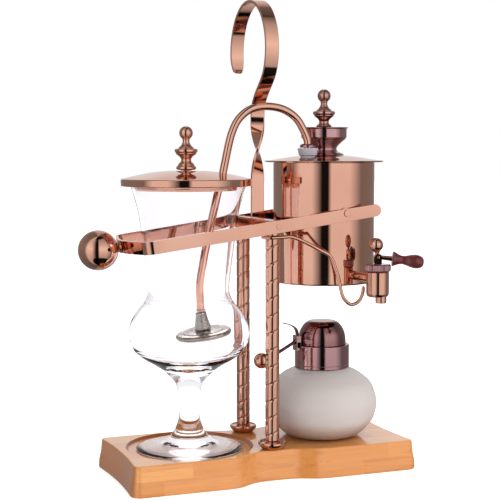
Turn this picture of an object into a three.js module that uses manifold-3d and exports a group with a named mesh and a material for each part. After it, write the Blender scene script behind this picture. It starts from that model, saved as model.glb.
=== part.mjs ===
// Balance siphon coffee maker: a brewing glass and a hanging boiler on a tilting beam.
// Millimetres, +Z up, +X from the glass towards the boiler, -Y to the front (the tap side).
// The origin is the centre of the base board's underside.
import * as THREE from "three";
import { mergeVertices } from "three/addons/utils/BufferGeometryUtils.js";
import Module from "manifold-3d";

const wasm = await Module();
wasm.setup();

// ---- driving dimensions ----
const GAP = 0.3; // between touching pieces
const BASE = { length: 269, height: 26.3, left: 61, right: 57, waist: 47.5, reach: 31, dip: 2.6, corner: 9 };
const RECESS = { radius: 54.5, depth: 2.4 };
const GLASS_X = -65; // axis of the brewing glass
const BOILER_X = 65; // axis of the boiler
const BURNER_X = 64; // axis of the spirit burner
const COLUMN = { y: 36.3, radius: 6.2, top: 217.6 };
const BRIDGE = { width: 12, length: 95.2, height: 10.4 };
const BEAM = {
  tilt: 7.7, inner: 48.3, thick: 2.6, height: 11, right: 99,
  corner: -115, bow: -125.6, ball: -147.9,
};
const BALL_RADIUS = 17.4;
const BOILER = { radius: 46.2, wall: 0.7, bottom: 168.9, top: 277.6, brim: 54.3, crown: 284.2 };
const TRUNNION = { z: 233.5, radius: 2.4 };
const TAP = { angle: -74, reach: 73.3, pipeZ: 177.4, pivotZ: 196.1, nozzle: 4.4 };
const LEVER = { angle: -21, droop: 7 }; // the tap handle, seen from above and from the side
const TUBE = { radius: 3.5, bore: 2.6, foot: [-55.4, -4], head: [41.7, -16.8] };
const FILTER = { radius: 25, tilt: 7.5 };
const LID = { x: -67, radius: 57.3, rim: 257.6, slot: 11 };
const HOOK = { width: 12.5, thick: 2.7, radius: 43.3, centre: [9, 377.5] };
const WIRE_RADIUS = 1.6;
const CAP_PIN = { x: 39 - BURNER_X, z: 117.5 };

const PIVOT_Z = COLUMN.top + GAP + BRIDGE.height / 2; // beam pivot height
const FLOOR_Z = BASE.height + GAP; // what stands on the board starts here

// ---- materials ----
const metal = (color, roughness) => new THREE.MeshStandardMaterial({ color, roughness, metalness: 1 });
const plain = (color, roughness) => new THREE.MeshStandardMaterial({ color, roughness, metalness: 0 });
const copper = metal(0xe0a58c, 0.08);
const mauve = metal(0xb9807f, 0.12);
const steel = metal(0xa8a29a, 0.3);
const wood = plain(0xe0a055, 0.15);
const grip = plain(0x5e1f22, 0.25);
const silicone = plain(0xb9b6c0, 0.5);
const cotton = plain(0xe4dccb, 0.9);
const glass = (color, roughness, opacity) =>
  new THREE.MeshStandardMaterial({ color, roughness, transparent: true, opacity });
const frosted = glass(0xd8d0cc, 0.6, 0.85);
const clear = glass(0xf2f0f6, 0.02, 0.3);

// ---- geometry helpers ----
const v2 = ([x, y]) => new THREE.Vector2(x, y);
const v3 = ([x, y, z]) => new THREE.Vector3(x, y, z);
const radians = THREE.MathUtils.degToRad;

// Only positions, shared vertices merged, no flat triangles, faces pointing out.
function closed(geometry) {
  const bare = geometry.clone();
  for (const name of Object.keys(bare.attributes)) if (name !== "position") bare.deleteAttribute(name);
  const merged = mergeVertices(bare, 1e-4);
  const p = merged.attributes.position;
  const index = merged.index.array;
  const faces = [];
  let volume = 0;
  for (let i = 0; i < index.length; i += 3) {
    const [a, b, c] = [index[i], index[i + 1], index[i + 2]];
    if (a === b || b === c || c === a) continue;
    faces.push([a, b, c]);
    const [va, vb, vc] = [a, b, c].map((k) => new THREE.Vector3().fromBufferAttribute(p, k));
    volume += va.dot(vb.cross(vc));
  }
  merged.setIndex(faces.flatMap(([a, b, c]) => (volume < 0 ? [a, c, b] : [a, b, c])));
  return merged;
}

function toSolid(geometry) {
  const g = closed(geometry);
  const vertProperties = new Float32Array(g.attributes.position.array);
  const triVerts = new Uint32Array(g.index.array);
  return new wasm.Manifold(new wasm.Mesh({ numProp: 3, vertProperties, triVerts }));
}

function toGeometry(solid) {
  const m = solid.getMesh();
  const g = new THREE.BufferGeometry();
  g.setAttribute("position", new THREE.BufferAttribute(new Float32Array(m.vertProperties), 3));
  return g.setIndex([...m.triVerts]);
}

const cut = (body, ...tools) => toGeometry(tools.reduce((s, t) => s.subtract(toSolid(t)), toSolid(body)));
const join = (...bodies) => toGeometry(bodies.map(toSolid).reduce((a, b) => a.add(b)));

// A turned shape from [radius, height] points, round the Z axis.
const lathe = (profile, sides = 32) => new THREE.LatheGeometry(profile.map(v2), sides).rotateX(Math.PI / 2);

// A smooth run of [radius, height] points through the given ones.
const smooth = (points, count) =>
  new THREE.SplineCurve(points.map(v2)).getSpacedPoints(count).map((p) => [p.x, p.y]);

// A cylinder from one [x, y, z] point to another.
function rod(from, to, radius, sides = 16, endRadius = radius) {
  const [a, b] = [v3(from), v3(to)];
  const along = b.clone().sub(a);
  const g = new THREE.CylinderGeometry(endRadius, radius, along.length(), sides);
  g.translate(0, along.length() / 2, 0);
  const turn = new THREE.Quaternion().setFromUnitVectors(new THREE.Vector3(0, 1, 0), along.normalize());
  g.applyQuaternion(turn);
  return g.translate(a.x, a.y, a.z);
}

const box = (low, high) =>
  new THREE.BoxGeometry(...[0, 1, 2].map((i) => high[i] - low[i])).translate(
    ...[0, 1, 2].map((i) => (low[i] + high[i]) / 2),
  );

const ball = (centre, radius, sides = 24) =>
  new THREE.SphereGeometry(radius, sides, sides / 2).translate(...centre);

// A round bar through a run of points, its section carried along without twist.
function tubing(points, radius, sides = 8) {
  let out = new THREE.Vector3(0, 1, 0);
  const rings = points.map((p, i) => {
    const [a, b] = [points[Math.max(i - 1, 0)], points[Math.min(i + 1, points.length - 1)]];
    const tangent = b.clone().sub(a).normalize();
    out = out.clone().addScaledVector(tangent, -out.dot(tangent)).normalize();
    const across = new THREE.Vector3().crossVectors(tangent, out);
    return Array.from({ length: sides }, (_, k) => (k / sides) * 2 * Math.PI).map((t) =>
      p.clone().addScaledVector(out, radius * Math.cos(t)).addScaledVector(across, radius * Math.sin(t)));
  });
  return loft(rings, true);
}

// A closed body through rings of equal length.
function loft(rings, convex = false) {
  const n = rings[0].length;
  const positions = rings.flat().flatMap((p) => [p.x, p.y, p.z]);
  const index = [];
  for (let k = 0; k + 1 < rings.length; k++)
    for (let i = 0; i < n; i++) {
      const [a, b] = [k * n + i, k * n + ((i + 1) % n)];
      index.push(a, b, b + n, a, b + n, a + n);
    }
  const last = (rings.length - 1) * n;
  const fan = capTriangles(rings[0], convex);
  for (const [a, b, c] of fan) index.push(a, c, b, last + a, last + b, last + c);
  const g = new THREE.BufferGeometry();
  g.setAttribute("position", new THREE.Float32BufferAttribute(positions, 3));
  return g.setIndex(index);
}

function capTriangles(ring, convex) {
  if (convex) return ring.slice(2).map((_, i) => [0, i + 1, i + 2]);
  return THREE.ShapeUtils.triangulateShape(ring.map((p) => new THREE.Vector2(p.x, p.y)), []);
}

function mesh(name, geometry, material) {
  const m = new THREE.Mesh(closed(geometry), material);
  m.name = name;
  return m;
}

function group(...children) {
  const g = new THREE.Group();
  g.add(...children);
  return g;
}

// ---- base board, columns, bridge, hook ----
// Half the board's width at x: a wide lobe each side of a waist where the columns stand.
function halfWidth(x) {
  const lobe = THREE.MathUtils.lerp(BASE.left, BASE.right, THREE.MathUtils.smoothstep(x, -40, 40));
  return lobe - (lobe - BASE.waist) * Math.exp(-((x / BASE.reach) ** 4));
}

// The board's plan outline, moved in by an inset.
function boardOutline(inset) {
  const half = BASE.length / 2;
  const [c, steps] = [BASE.corner, 14];
  const side = Array.from({ length: steps + 1 }, (_, i) => -half + c + ((BASE.length - 2 * c) * i) / steps);
  const points = side.map((x) => [x, -halfWidth(x)]);
  const end = (sign, w, rising) => {
    const ys = [-1, -0.75, -0.4, 0, 0.4, 0.75, 1].map((t) => t * (w - c));
    const run = ys.map((y) => [sign * (half - BASE.dip * (1 - (y / (w - c)) ** 2)), y]);
    const nick = c * (1 - Math.SQRT1_2);
    const knees = [[sign * (half - nick), -(w - nick)], [sign * (half - nick), w - nick]];
    const whole = [knees[0], ...run, knees[1]];
    return rising ? whole : whole.reverse();
  };
  points.push(...end(1, BASE.right, true));
  points.push(...side.reverse().map((x) => [x, halfWidth(x)]));
  points.push(...end(-1, BASE.left, false));
  const n = points.length;
  return points.map(([x, y], i) => {
    const [px, py] = points[(i + n - 1) % n];
    const [qx, qy] = points[(i + 1) % n];
    const out = new THREE.Vector2(qy - py, px - qx).normalize().multiplyScalar(-inset);
    return new THREE.Vector2(x + out.x, y + out.y);
  });
}

function baseBoard() {
  // [height, inset]: a foot edge, an ogee that draws in upwards, and an eased top edge
  const edge = [[0, 0.8], [1, 0], [8, 0.4], [16, 2], [24.9, 2.7], [BASE.height, 3.7]];
  const rings = edge.map(([z, inset]) => boardOutline(inset).map((p) => new THREE.Vector3(p.x, p.y, z)));
  const seat = BASE.height - RECESS.depth;
  const recess = rod([GLASS_X, 0, seat], [GLASS_X, 0, BASE.height + 5], RECESS.radius, 48);
  const screwHoles = [-COLUMN.y, COLUMN.y].flatMap((y) => [
    rod([0, y, -1], [0, y, BASE.height + 1], 2.8),
    rod([0, y, -1], [0, y, 5], 5.2),
  ]);
  return mesh("base_board", cut(loft(rings), recess, ...screwHoles), wood);
}

// A column: tapped at the bottom for its screw, with a stud on top for the bridge.
function column(name, y) {
  const tap = { radius: 2.8, depth: 16 };
  const profile = [
    [tap.radius, FLOOR_Z], [COLUMN.radius, FLOOR_Z], [COLUMN.radius, COLUMN.top], [2.5, COLUMN.top],
    [2.5, COLUMN.top + 6], [0, COLUMN.top + 6],
    [0, FLOOR_Z + tap.depth], [tap.radius, FLOOR_Z + tap.depth],
    [tap.radius, FLOOR_Z],
  ];
  return mesh(name, lathe(profile, 18).translate(0, y, 0), copper);
}

// The dished foot ring round a column's lower end.
function columnFoot(name, y) {
  const bore = COLUMN.radius + GAP;
  const dish = [
    [9.4, 0], [10.4, 1.2], [12, 3], [12.6, 4.6], [12.4, 6.2], [11.4, 6.4], [9.6, 5.2], [bore, 4.8],
  ];
  const profile = [[bore, 0], ...dish, [bore, 0]].map(([r, z]) => [r, z + FLOOR_Z]);
  return mesh(name, lathe(profile, 18).translate(0, y, 0), copper);
}

// The screw that holds a column down from under the board.
function columnScrew(name, y) {
  const profile = [[0, 1], [4.6, 1], [4.6, 4.6], [2.4, 4.6], [2.4, FLOOR_Z + 13], [0, FLOOR_Z + 13]];
  return mesh(name, lathe(profile, 20).translate(0, y, 0), steel);
}

function bridgeBar() {
  const [w, l, z0] = [BRIDGE.width / 2, BRIDGE.length / 2, COLUMN.top + GAP];
  const bar = box([-w, -l, z0], [w, l, z0 + BRIDGE.height]);
  const studHoles = [-COLUMN.y, COLUMN.y].map((y) => rod([0, y, z0 - 1], [0, y, z0 + 6.4], 2.8));
  const pinHoles = [-1, 1].map((s) => rod([0, s * (l - 7.4), PIVOT_Z], [0, s * (l + 1), PIVOT_Z], 2.7));
  return mesh("bridge_bar", cut(bar, ...studHoles, ...pinHoles), copper);
}

// The beam's pivot pin, from a blind hole in the bridge's end through the beam's bar.
function beamPivot(name, side) {
  const [start, end] = [BRIDGE.length / 2 - 7, BEAM.inner + BEAM.thick + 0.4];
  return mesh(name, rod([0, side * start, PIVOT_Z], [0, side * end, PIVOT_Z], 2.4), copper);
}

// The hook: a flat bar that twists half a turn up its stem and curls over in the Y-Z plane.
function carryHook() {
  const foot = COLUMN.top + 2 * GAP + BRIDGE.height;
  const [cy, cz] = HOOK.centre;
  const stem = new THREE.LineCurve(v2([0, foot]), v2([0, 320]));
  const lean = [[0, 320], [0, 338], [-23.5, 345], [-30.3, 359.5]];
  const swing = new THREE.CubicBezierCurve(...lean.map(v2));
  const [from, to] = [radians(204.5), radians(-16)];
  const arc = (t) => {
    const a = THREE.MathUtils.lerp(from, to, t);
    return new THREE.Vector2(cy + HOOK.radius * Math.cos(a), cz + HOOK.radius * Math.sin(a));
  };
  const samples = [
    ...stem.getSpacedPoints(22),
    ...swing.getSpacedPoints(8).slice(1),
    ...Array.from({ length: 22 }, (_, i) => arc((i + 1) / 22)),
    v2([cy + HOOK.radius - 5.2, cz - 17]),
  ];
  const twist = (z) => Math.PI * THREE.MathUtils.smoothstep(z, 255, 320);
  const stations = samples.map((p, i) => {
    const [a, b] = [samples[Math.max(i - 1, 0)], samples[Math.min(i + 1, samples.length - 1)]];
    const tangent = new THREE.Vector3(0, b.x - a.x, b.y - a.y).normalize();
    const side = new THREE.Vector3(1, 0, 0);
    const flat = new THREE.Vector3().crossVectors(tangent, side);
    const turn = i <= 22 ? twist(p.y) : Math.PI;
    const w = side.clone().applyAxisAngle(tangent, turn).multiplyScalar(HOOK.width / 2);
    const t = flat.applyAxisAngle(tangent, turn).multiplyScalar(HOOK.thick / 2);
    const c = new THREE.Vector3(0, p.x, p.y);
    return [[1, 1], [-1, 1], [-1, -1], [1, -1]].map(([i1, j1]) =>
      c.clone().addScaledVector(w, i1).addScaledVector(t, j1));
  });
  return mesh("carry_hook", loft(stations, true), copper);
}

// ---- beam and counterweight, made level and tilted with their group ----
// The yoke: one bent strip, two bars joined by a bow at the counterweight's end.
function beamYoke() {
  const run = (offset) => {
    const y = BEAM.inner + offset;
    const path = new THREE.Path();
    path.moveTo(BEAM.right, -y);
    path.lineTo(BEAM.corner + 9, -y);
    path.quadraticCurveTo(BEAM.corner - offset, -y, BEAM.corner - 2.5 - offset, -y + 9);
    path.quadraticCurveTo(BEAM.bow - offset, -16, BEAM.bow - offset, 0);
    return path.getPoints(6);
  };
  const mirrored = (points) => points.slice(0, -1).reverse().map((p) => new THREE.Vector2(p.x, -p.y));
  const half = (points) => [...points, ...mirrored(points)];
  const outline = [...half(run(BEAM.thick)), ...half(run(0)).reverse()];
  const settings = { depth: BEAM.height, bevelEnabled: false };
  const bar = new THREE.ExtrudeGeometry(new THREE.Shape(outline), settings);
  const strip = bar.translate(0, 0, -BEAM.height / 2);
  const reach = BEAM.inner + BEAM.thick + 2;
  const pivotHole = rod([0, -reach, 0], [0, reach, 0], 2.7);
  const t = trunnionInBeam();
  const trunnionHole = rod([t.x, -reach, t.y], [t.x, reach, t.y], TRUNNION.radius + GAP);
  const screwHole = rod([BEAM.bow - 5, 0, 0], [BEAM.bow + 5, 0, 0], 2.8);
  const r = BEAM.height / 2;
  const end = BEAM.right - r;
  const corners = box([end, -reach, -r - 1], [end + r + 1, reach, r + 1]);
  const rounding = cut(corners, rod([end, -reach - 1, 0], [end, reach + 1, 0], r, 24));
  return mesh("beam_yoke", cut(strip, pivotHole, trunnionHole, screwHole, rounding), copper);
}

// The trunnion's place in the level beam: x along it, y up.
function trunnionInBeam() {
  const level = new THREE.Vector2(BOILER_X, TRUNNION.z - PIVOT_Z);
  return level.rotateAround(new THREE.Vector2(), -radians(BEAM.tilt));
}

function counterweight() {
  const hole = rod([BEAM.ball - 6, 0, 0], [BEAM.ball + BALL_RADIUS + 2, 0, 0], 2.7);
  const bow = BEAM.bow - BEAM.thick;
  const sphere = cut(ball([BEAM.ball, 0, 0], BALL_RADIUS, 24), hole);
  const collar = rod([BEAM.ball + BALL_RADIUS + GAP, 0, 0], [bow - GAP, 0, 0], 4.4, 24, 5.6);
  const screw = join(
    rod([BEAM.ball - 5, 0, 0], [BEAM.bow + 1, 0, 0], 2.4),
    rod([BEAM.bow + 0.7, 0, 0], [BEAM.bow + 3, 0, 0], 4.4),
  );
  return [
    mesh("counterweight_ball", sphere, copper),
    mesh("ball_collar", cut(collar, rod([bow - 9, 0, 0], [bow + 9, 0, 0], 2.7)), copper),
    mesh("ball_screw", screw, copper),
  ];
}

function beam() {
  const g = group(beamYoke(), ...counterweight());
  g.position.z = PIVOT_Z;
  g.rotation.y = -radians(BEAM.tilt);
  return g;
}

// The steady wire: round the front column's head, out under the beam, down to a loop by the tap pipe.
function steadyWire() {
  const ringZ = 213.3;
  const ring = Array.from({ length: 10 }, (_, i) => {
    const a = radians(-20 + i * 29);
    return [8.3 * Math.cos(a), -COLUMN.y + 8.3 * Math.sin(a), ringZ];
  });
  const tail = [
    [7, -45, 213.6], [13, -46.2, 213.9], [21.2, -46.9, 211.2], [30.6, -47.3, 206.8], [39.8, -47.8, 201.8],
    [47.5, -48.6, 197.7], [51.2, -49.3, 193.4], [53.5, -50.5, 186.6],
    [55.6, -52.5, 178], [56.4, -54.5, 171],
    [58.1, -56.5, 161.5], [61.5, -58, 156.2], [66, -59, 153.9], [71.4, -60, 156], [74.4, -60.5, 160.3],
    [75.8, -61, 165.6], [76, -61, 170],
  ];
  const curve = new THREE.CatmullRomCurve3([...ring, ...tail].map(v3));
  return mesh("steady_wire", tubing(curve.getSpacedPoints(46), WIRE_RADIUS, 8), copper);
}

// ---- boiler, its lid, funnel, plug, tube and filter ----
function boilerCan() {
  const { radius: r, wall, bottom, top } = BOILER;
  const profile = [
    [0, bottom + 0.6], [r - 3.4, bottom + 0.6], [r - 2.6, bottom], [r - 0.8, bottom], [r, bottom + 1],
    [r, top], [r - wall, top], [r - wall, bottom + 1.8], [r - 3, bottom + 1.3], [0, bottom + 1.3],
  ];
  const inward = tapPoint(BOILER.radius - 4, TAP.pipeZ);
  const outward = tapPoint(BOILER.radius + 4, TAP.pipeZ);
  const can = lathe(profile, 36).translate(BOILER_X, 0, 0);
  return mesh("boiler_can", cut(can, rod(inward, outward, 3.2)), copper);
}

function boilerLid() {
  const { brim, crown, radius } = BOILER;
  const edge = [[brim, 278.9], [brim - 0.6, 279.4]];
  const top = [...edge, [44, 280.6], [32, 282.6], [20, crown - 0.4], [12, crown]];
  const under = [[12, crown - 0.9], [20, crown - 1.3], [32, 281.7], [radius - 1.4, 279.5]];
  const bore = radius - 0.7 - GAP;
  const spigot = [[radius - 1.4, 273], [bore, 273], [bore, 278.1], [brim - 0.5, 278.1]];
  const profile = [...top, ...under, ...spigot, top[0]];
  const [sx, sy] = TUBE.head;
  const hole = rod([sx, sy, 260], [sx, sy, 300], 7.1, 24);
  return mesh("boiler_lid", cut(lathe(profile, 36).translate(BOILER_X, 0, 0), hole), copper);
}

function fillerFunnel() {
  const outer = [
    [18.8, 284.2], [16.8, 286.4], [13.2, 287.8], [11.6, 289.6], [12.2, 291.8],
    [15.4, 295.4], [19.4, 298.6],
    [20.7, 300.4], [20.8, 308], [22.1, 308.7], [22.1, 309.5], [21, 309.6],
  ];
  const inner = [[19.9, 308.4], [19.9, 300.8], [15, 296.6], [10.4, 293.2], [7, 292.2], [7, 277.6]];
  const under = [[9.6, 277.6], [11.6, 281], [11.6, BOILER.crown + GAP], [18, BOILER.crown]];
  const funnel = lathe([...outer, ...inner, ...under, outer[0]], 24);
  return mesh("filler_funnel", funnel.translate(BOILER_X, 0, 0), mauve);
}

// The turned knob of both lids, from its lowest disc up: [radius, height] above the foot.
const FINIAL = [
  [7, 0], [6.2, 1.2], [4.4, 3.2], [4.8, 5.4], [7.5, 8], [9, 9.6], [9.7, 10.5], [10, 11.4], [10, 12.8],
  [9.4, 13.5], [6.6, 14.6], [4.2, 16.8], [3.1, 19.5], [3.2, 21.8],
];
const FINIAL_BALL = { z: 27.4, radius: 6 };

function finialTop(zero) {
  const { z, radius } = FINIAL_BALL;
  const start = Math.acos((FINIAL.at(-1)[1] - z) / radius);
  const steps = 5;
  const angles = Array.from({ length: steps }, (_, i) => start * (1 - (i + 1) / steps));
  const dome = angles.map((a) => [radius * Math.sin(a), z + radius * Math.cos(a)]);
  return [...FINIAL, ...dome].map(([r, h]) => [Math.max(r, 0), h + zero]);
}

function fillerPlug() {
  const stem = [
    [0, 279], [6.5, 279], [6.5, 292.6], [9, 294.2], [9, 296.6], [4.8, 298], [4.2, 301], [4.2, 307.4],
  ];
  const plug = lathe([...stem, ...finialTop(310.6)], 16).translate(BOILER_X, 0, 0);
  return mesh("filler_plug", plug, mauve);
}

// The plan line of the siphon tube, from the glass to the boiler, carries its bends.
function tubePoint(s, z) {
  const [fx, fy] = TUBE.foot;
  const [hx, hy] = TUBE.head;
  const t = s / Math.hypot(hx - fx, hy - fy);
  return new THREE.Vector3(fx + (hx - fx) * t, fy + (hy - fy) * t, z);
}

// Its centre line: up out of the glass, leaning right, over the top and down into the boiler.
function tubeLine() {
  const reach = Math.hypot(TUBE.head[0] - TUBE.foot[0], TUBE.head[1] - TUBE.foot[1]);
  const bend = [
    [0, 146.6], [-0.4, 157], [-0.8, 166], [-0.3, 174.5], [2, 188], [4.4, 201], [7.4, 214],
    [10.3, 228], [13.4, 241],
    [16.4, 254], [19.1, 263], [20.9, 271.5], [23.1, 282], [25.4, 293], [28.4, 304],
    [33.4, 314.5], [40.6, 322],
    [48.7, 326], [60, 327.5], [72, 326], [81, 322], [88.4, 315.7], [93.8, 306.8],
    [96.8, 300], [97.8, 295.4],
    [reach, 290],
  ];
  const curve = new THREE.SplineCurve(bend.map(v2)).getPoints(40);
  return [...curve, v2([reach, 174])].map((p) => tubePoint(p.x, p.y));
}

function siphonTube() {
  const line = tubeLine();
  const bore = line.slice();
  bore[0] = bore[0].clone().setZ(140);
  bore[bore.length - 1] = bore.at(-1).clone().setZ(170);
  return mesh("siphon_tube", cut(tubing(line, TUBE.radius, 10), tubing(bore, TUBE.bore, 10)), copper);
}

// The silicone bung that seals the tube into the lid, and the metal ferrule on it.
function tubeStopper() {
  const [x, y] = TUBE.head;
  const bore = TUBE.radius + 2 * GAP;
  const bung = [
    [bore, 272], [6, 272], [6.7, 283.9], [8, 284.2], [9.2, 290.8], [bore, 290.8], [bore, 272],
  ];
  const ferrule = [[bore, 291.1], [7.2, 291.1], [7.2, 293], [5.4, 294.6], [bore, 294.6], [bore, 291.1]];
  return [
    mesh("tube_stopper", lathe(bung, 24).translate(x, y, 0), silicone),
    mesh("stopper_ferrule", lathe(ferrule, 24).translate(x, y, 0), mauve),
  ];
}

// The filter head on the tube's foot: a cone, a shallow metal dish and the cloth drawn over it.
function filterHead() {
  const [x, y] = TUBE.foot;
  const bore = TUBE.bore;
  const cone = [[bore, 15.9], [4.5, 15.9], [5, 12.4], [7.4, 1.6], [7.4, 0.3], [bore, 0.3], [bore, 15.9]];
  const dish = [[0, 0], [18, -0.9], [23.6, -1.7], [FILTER.radius, -3], [FILTER.radius, -4.6], [0, -4.6]];
  const cloth = [[0, -4.9], [FILTER.radius - 0.6, -4.9], [FILTER.radius - 1.2, -6.2], [0, -6.6]];
  const g = group(
    mesh("filter_cone", lathe(cone, 20), steel),
    mesh("filter_disc", lathe(dish, 32), steel),
    mesh("filter_cloth", lathe(cloth, 32), cotton),
  );
  g.position.set(x + 2.1, y, 130.2);
  g.rotation.y = -radians(FILTER.tilt);
  return g;
}

// A trunnion: a boss on the boiler's wall, a journal through the beam's bar, and a head outside it.
function trunnion(name, side) {
  const y = (d) => side * d;
  const at = (d) => [BOILER_X, y(d), TRUNNION.z];
  const outer = BEAM.inner + BEAM.thick;
  const boss = rod(at(BOILER.radius + GAP), at(BEAM.inner - 0.5), 5);
  const journal = rod(at(BEAM.inner - 1), at(outer + 0.6), TRUNNION.radius);
  const head = rod(at(outer + GAP), at(outer + 1), 3.2, 24, 3);
  return mesh(name, join(boss, journal, head), copper);
}

// ---- tap ----
// A point at a distance from the boiler's axis, in the direction of the tap.
function tapPoint(distance, z) {
  const a = radians(TAP.angle);
  return [BOILER_X + distance * Math.cos(a), distance * Math.sin(a), z];
}

function tap() {
  const turned = lathe([
    [0, 172], [3.3, 172], [3.3, 183.2], [9.6, 183.2], [10, 182.8], [10, 163.6], [9, 161.8],
    [7.4, 161], [0, 161],
  ], 28);
  const nozzle = rod([TAP.nozzle, 0, 156], [TAP.nozzle, 0, 163], 4.85, 24);
  const spout = rod([TAP.nozzle, 0, 150], [TAP.nozzle, 0, 168], 2.6, 16);
  const pipeHole = rod([-20, 0, TAP.pipeZ], [-7, 0, TAP.pipeZ], 4.5, 24);
  const pipe = cut(
    rod([BOILER.radius + GAP - TAP.reach, 0, TAP.pipeZ], [-7.4, 0, TAP.pipeZ], 4.15),
    rod([-80, 0, TAP.pipeZ], [10, 0, TAP.pipeZ], 2.6),
  );
  const rim = [[3.3, 183.5], [10.8, 183.5], [11.4, 184.1], [11.4, 189.3], [10.8, 189.9], [3.3, 189.9]];
  const collar = [...rim, rim[0]];
  const plunger = [[0, 173.5], [2.9, 173.5], [2.9, 182], [1.9, 184], [1.9, 192.1], [0, 192.1]];
  const [z, inner, outer] = [TAP.pivotZ, 2.7, 4.4];
  const ears = [-1, 1].map((s) =>
    box([-3.2, s > 0 ? inner : -outer, 190.2], [3.2, s > 0 ? outer : -inner, z + 3]));
  const web = cut(box([-3.2, -outer, 190.2], [3.2, outer, 191.2]), rod([0, 0, 189], [0, 0, 193], 2.4, 16));
  const fork = cut(join(web, ...ears), rod([0, -9, z], [0, 9, z], 1.5, 16));
  const handle = group(
    mesh("tap_fork", fork, copper),
    mesh("tap_pin", rod([0, -5.2, z], [0, 5.2, z], 1.2, 16), copper),
    mesh("tap_lever", tapLever(), copper),
    mesh("tap_grip", tapGrip(), grip),
  );
  handle.rotation.z = radians(LEVER.angle - TAP.angle);
  const g = group(
    mesh("tap_pipe", pipe, copper),
    mesh("tap_body", cut(join(turned, nozzle), pipeHole, spout), copper),
    mesh("tap_collar", lathe(collar, 28), mauve),
    mesh("tap_plunger", lathe(plunger, 16), steel),
    handle,
  );
  g.position.set(...tapPoint(TAP.reach, 0));
  g.rotation.z = radians(TAP.angle);
  return g;
}

// The lever: a hub on the pin, a ball on top and an arm that droops out into the grip.
function tapLever() {
  const z = TAP.pivotZ;
  const hub = rod([0, -2.4, z], [0, 2.4, z], 3.4, 20);
  const neck = rod([0, 0, z + 2], [-1, 0, z + 7], 1.9, 16, 2.6);
  const knob = ball([-1.6, 0, z + 10.6], 6.2, 16);
  const arm = drooped(rod([2, 0, 0], [12.4, 0, 0], 1.9, 16, 2.3));
  return cut(join(hub, neck, knob, arm), rod([0, -9, z], [0, 9, z], 1.5, 16));
}

// The turned wooden grip, pushed on the lever's arm.
function tapGrip() {
  const flare = [[6.6, 12.8], [6.4, 13.8]];
  const run = [
    [5.4, 16.2], [4.2, 18.8], [3.7, 21.2], [4.4, 25.4], [5.7, 29.6], [6.1, 33], [5.4, 37], [3.4, 39.6],
  ];
  return drooped(lathe([[0, 12.8], ...flare, ...run, [0, 40.4]], 16).rotateY(Math.PI / 2));
}

// From along +X at the origin to its drooping place on the lever's pin.
const drooped = (geometry) => geometry.rotateY(radians(LEVER.droop)).translate(0, 0, TAP.pivotZ);

// ---- brewing glass and its lid ----
function brewingGlass() {
  const bowl = [
    [12.9, 41.2], [9.7, 50], [9, 58], [9.4, 70], [12, 82], [17.2, 89], [24, 96.4],
    [40.8, 106], [48.1, 112.4],
    [52.6, 121], [53.2, 130.4], [50.6, 139.4], [45, 148], [40, 154.4], [36.6, 162], [36, 168],
    [37.9, 188], [40.8, 210], [44.4, 234.8], [48.9, 250], [50.5, 255.8], [51.6, 261.4], [51, 262.2],
  ];
  const foot = BASE.height - RECESS.depth + GAP;
  const outside = [[46.6, foot], [47.3, foot + 0.8], [38, 28], [28, 30], [22, 31.6], [17, 35], ...bowl];
  const inside = [
    [49.4, 262.2], [49, 261.2], [47.9, 255], [46.4, 250], [41.9, 234.8], [38.3, 210],
    [35.4, 188], [33.5, 168],
    [34.2, 162], [37.4, 155.4], [42.4, 149.2],
    [48, 140], [50.6, 130.4], [50, 121.6], [45.8, 113.6], [38.8, 108], [18, 98.2], [0, 95.4],
  ];
  const hollowFoot = [[0, 29], [20, 27.4], [42, foot]];
  const profile = [...hollowFoot, ...outside, ...inside];
  return mesh("brewing_glass", lathe(profile, 30).translate(GLASS_X, 0, 0), clear);
}

function glassLid() {
  const r = LID.radius;
  const band = [[r - 0.5, LID.rim], [r, LID.rim + 0.5], [r, 263.3], [r - 0.6, 263.9]];
  const crown = [[48, 266], [34, 269], [20, 270.7], [2.6, 271.1]];
  const under = [[2.6, 269.9], [20, 269.5], [34, 267.8], [44, 265.3]];
  const ring = [[44, 254], [44.9, 254], [44.9, 262.5], [r - 1.2, 262.5], [r - 1.2, LID.rim]];
  const [slotY, half] = [-6.7, LID.slot / 2];
  const slot = box([-47 - LID.x, slotY - half, 240], [r + 5, slotY + half, 290]);
  const lid = cut(lathe([...band, ...crown, ...under, ...ring, band[0]], 36), slot);
  const foot = [
    [0, 264], [2.3, 264], [2.3, 271.4], [5, 271.4], [5.4, 271.7], [8.4, 272], [8.8, 272.6], [8.8, 274.2],
    [8.2, 274.9],
  ];
  const nut = cut(rod([0, 0, 266.8], [0, 0, 269.5], 5.4, 6), rod([0, 0, 260], [0, 0, 272], 2.6, 16));
  const g = group(
    mesh("glass_lid", lid, copper),
    mesh("lid_finial", lathe([...foot, ...finialTop(276.5)], 16), copper),
    mesh("lid_nut", nut, copper),
  );
  g.position.x = LID.x;
  return g;
}

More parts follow.
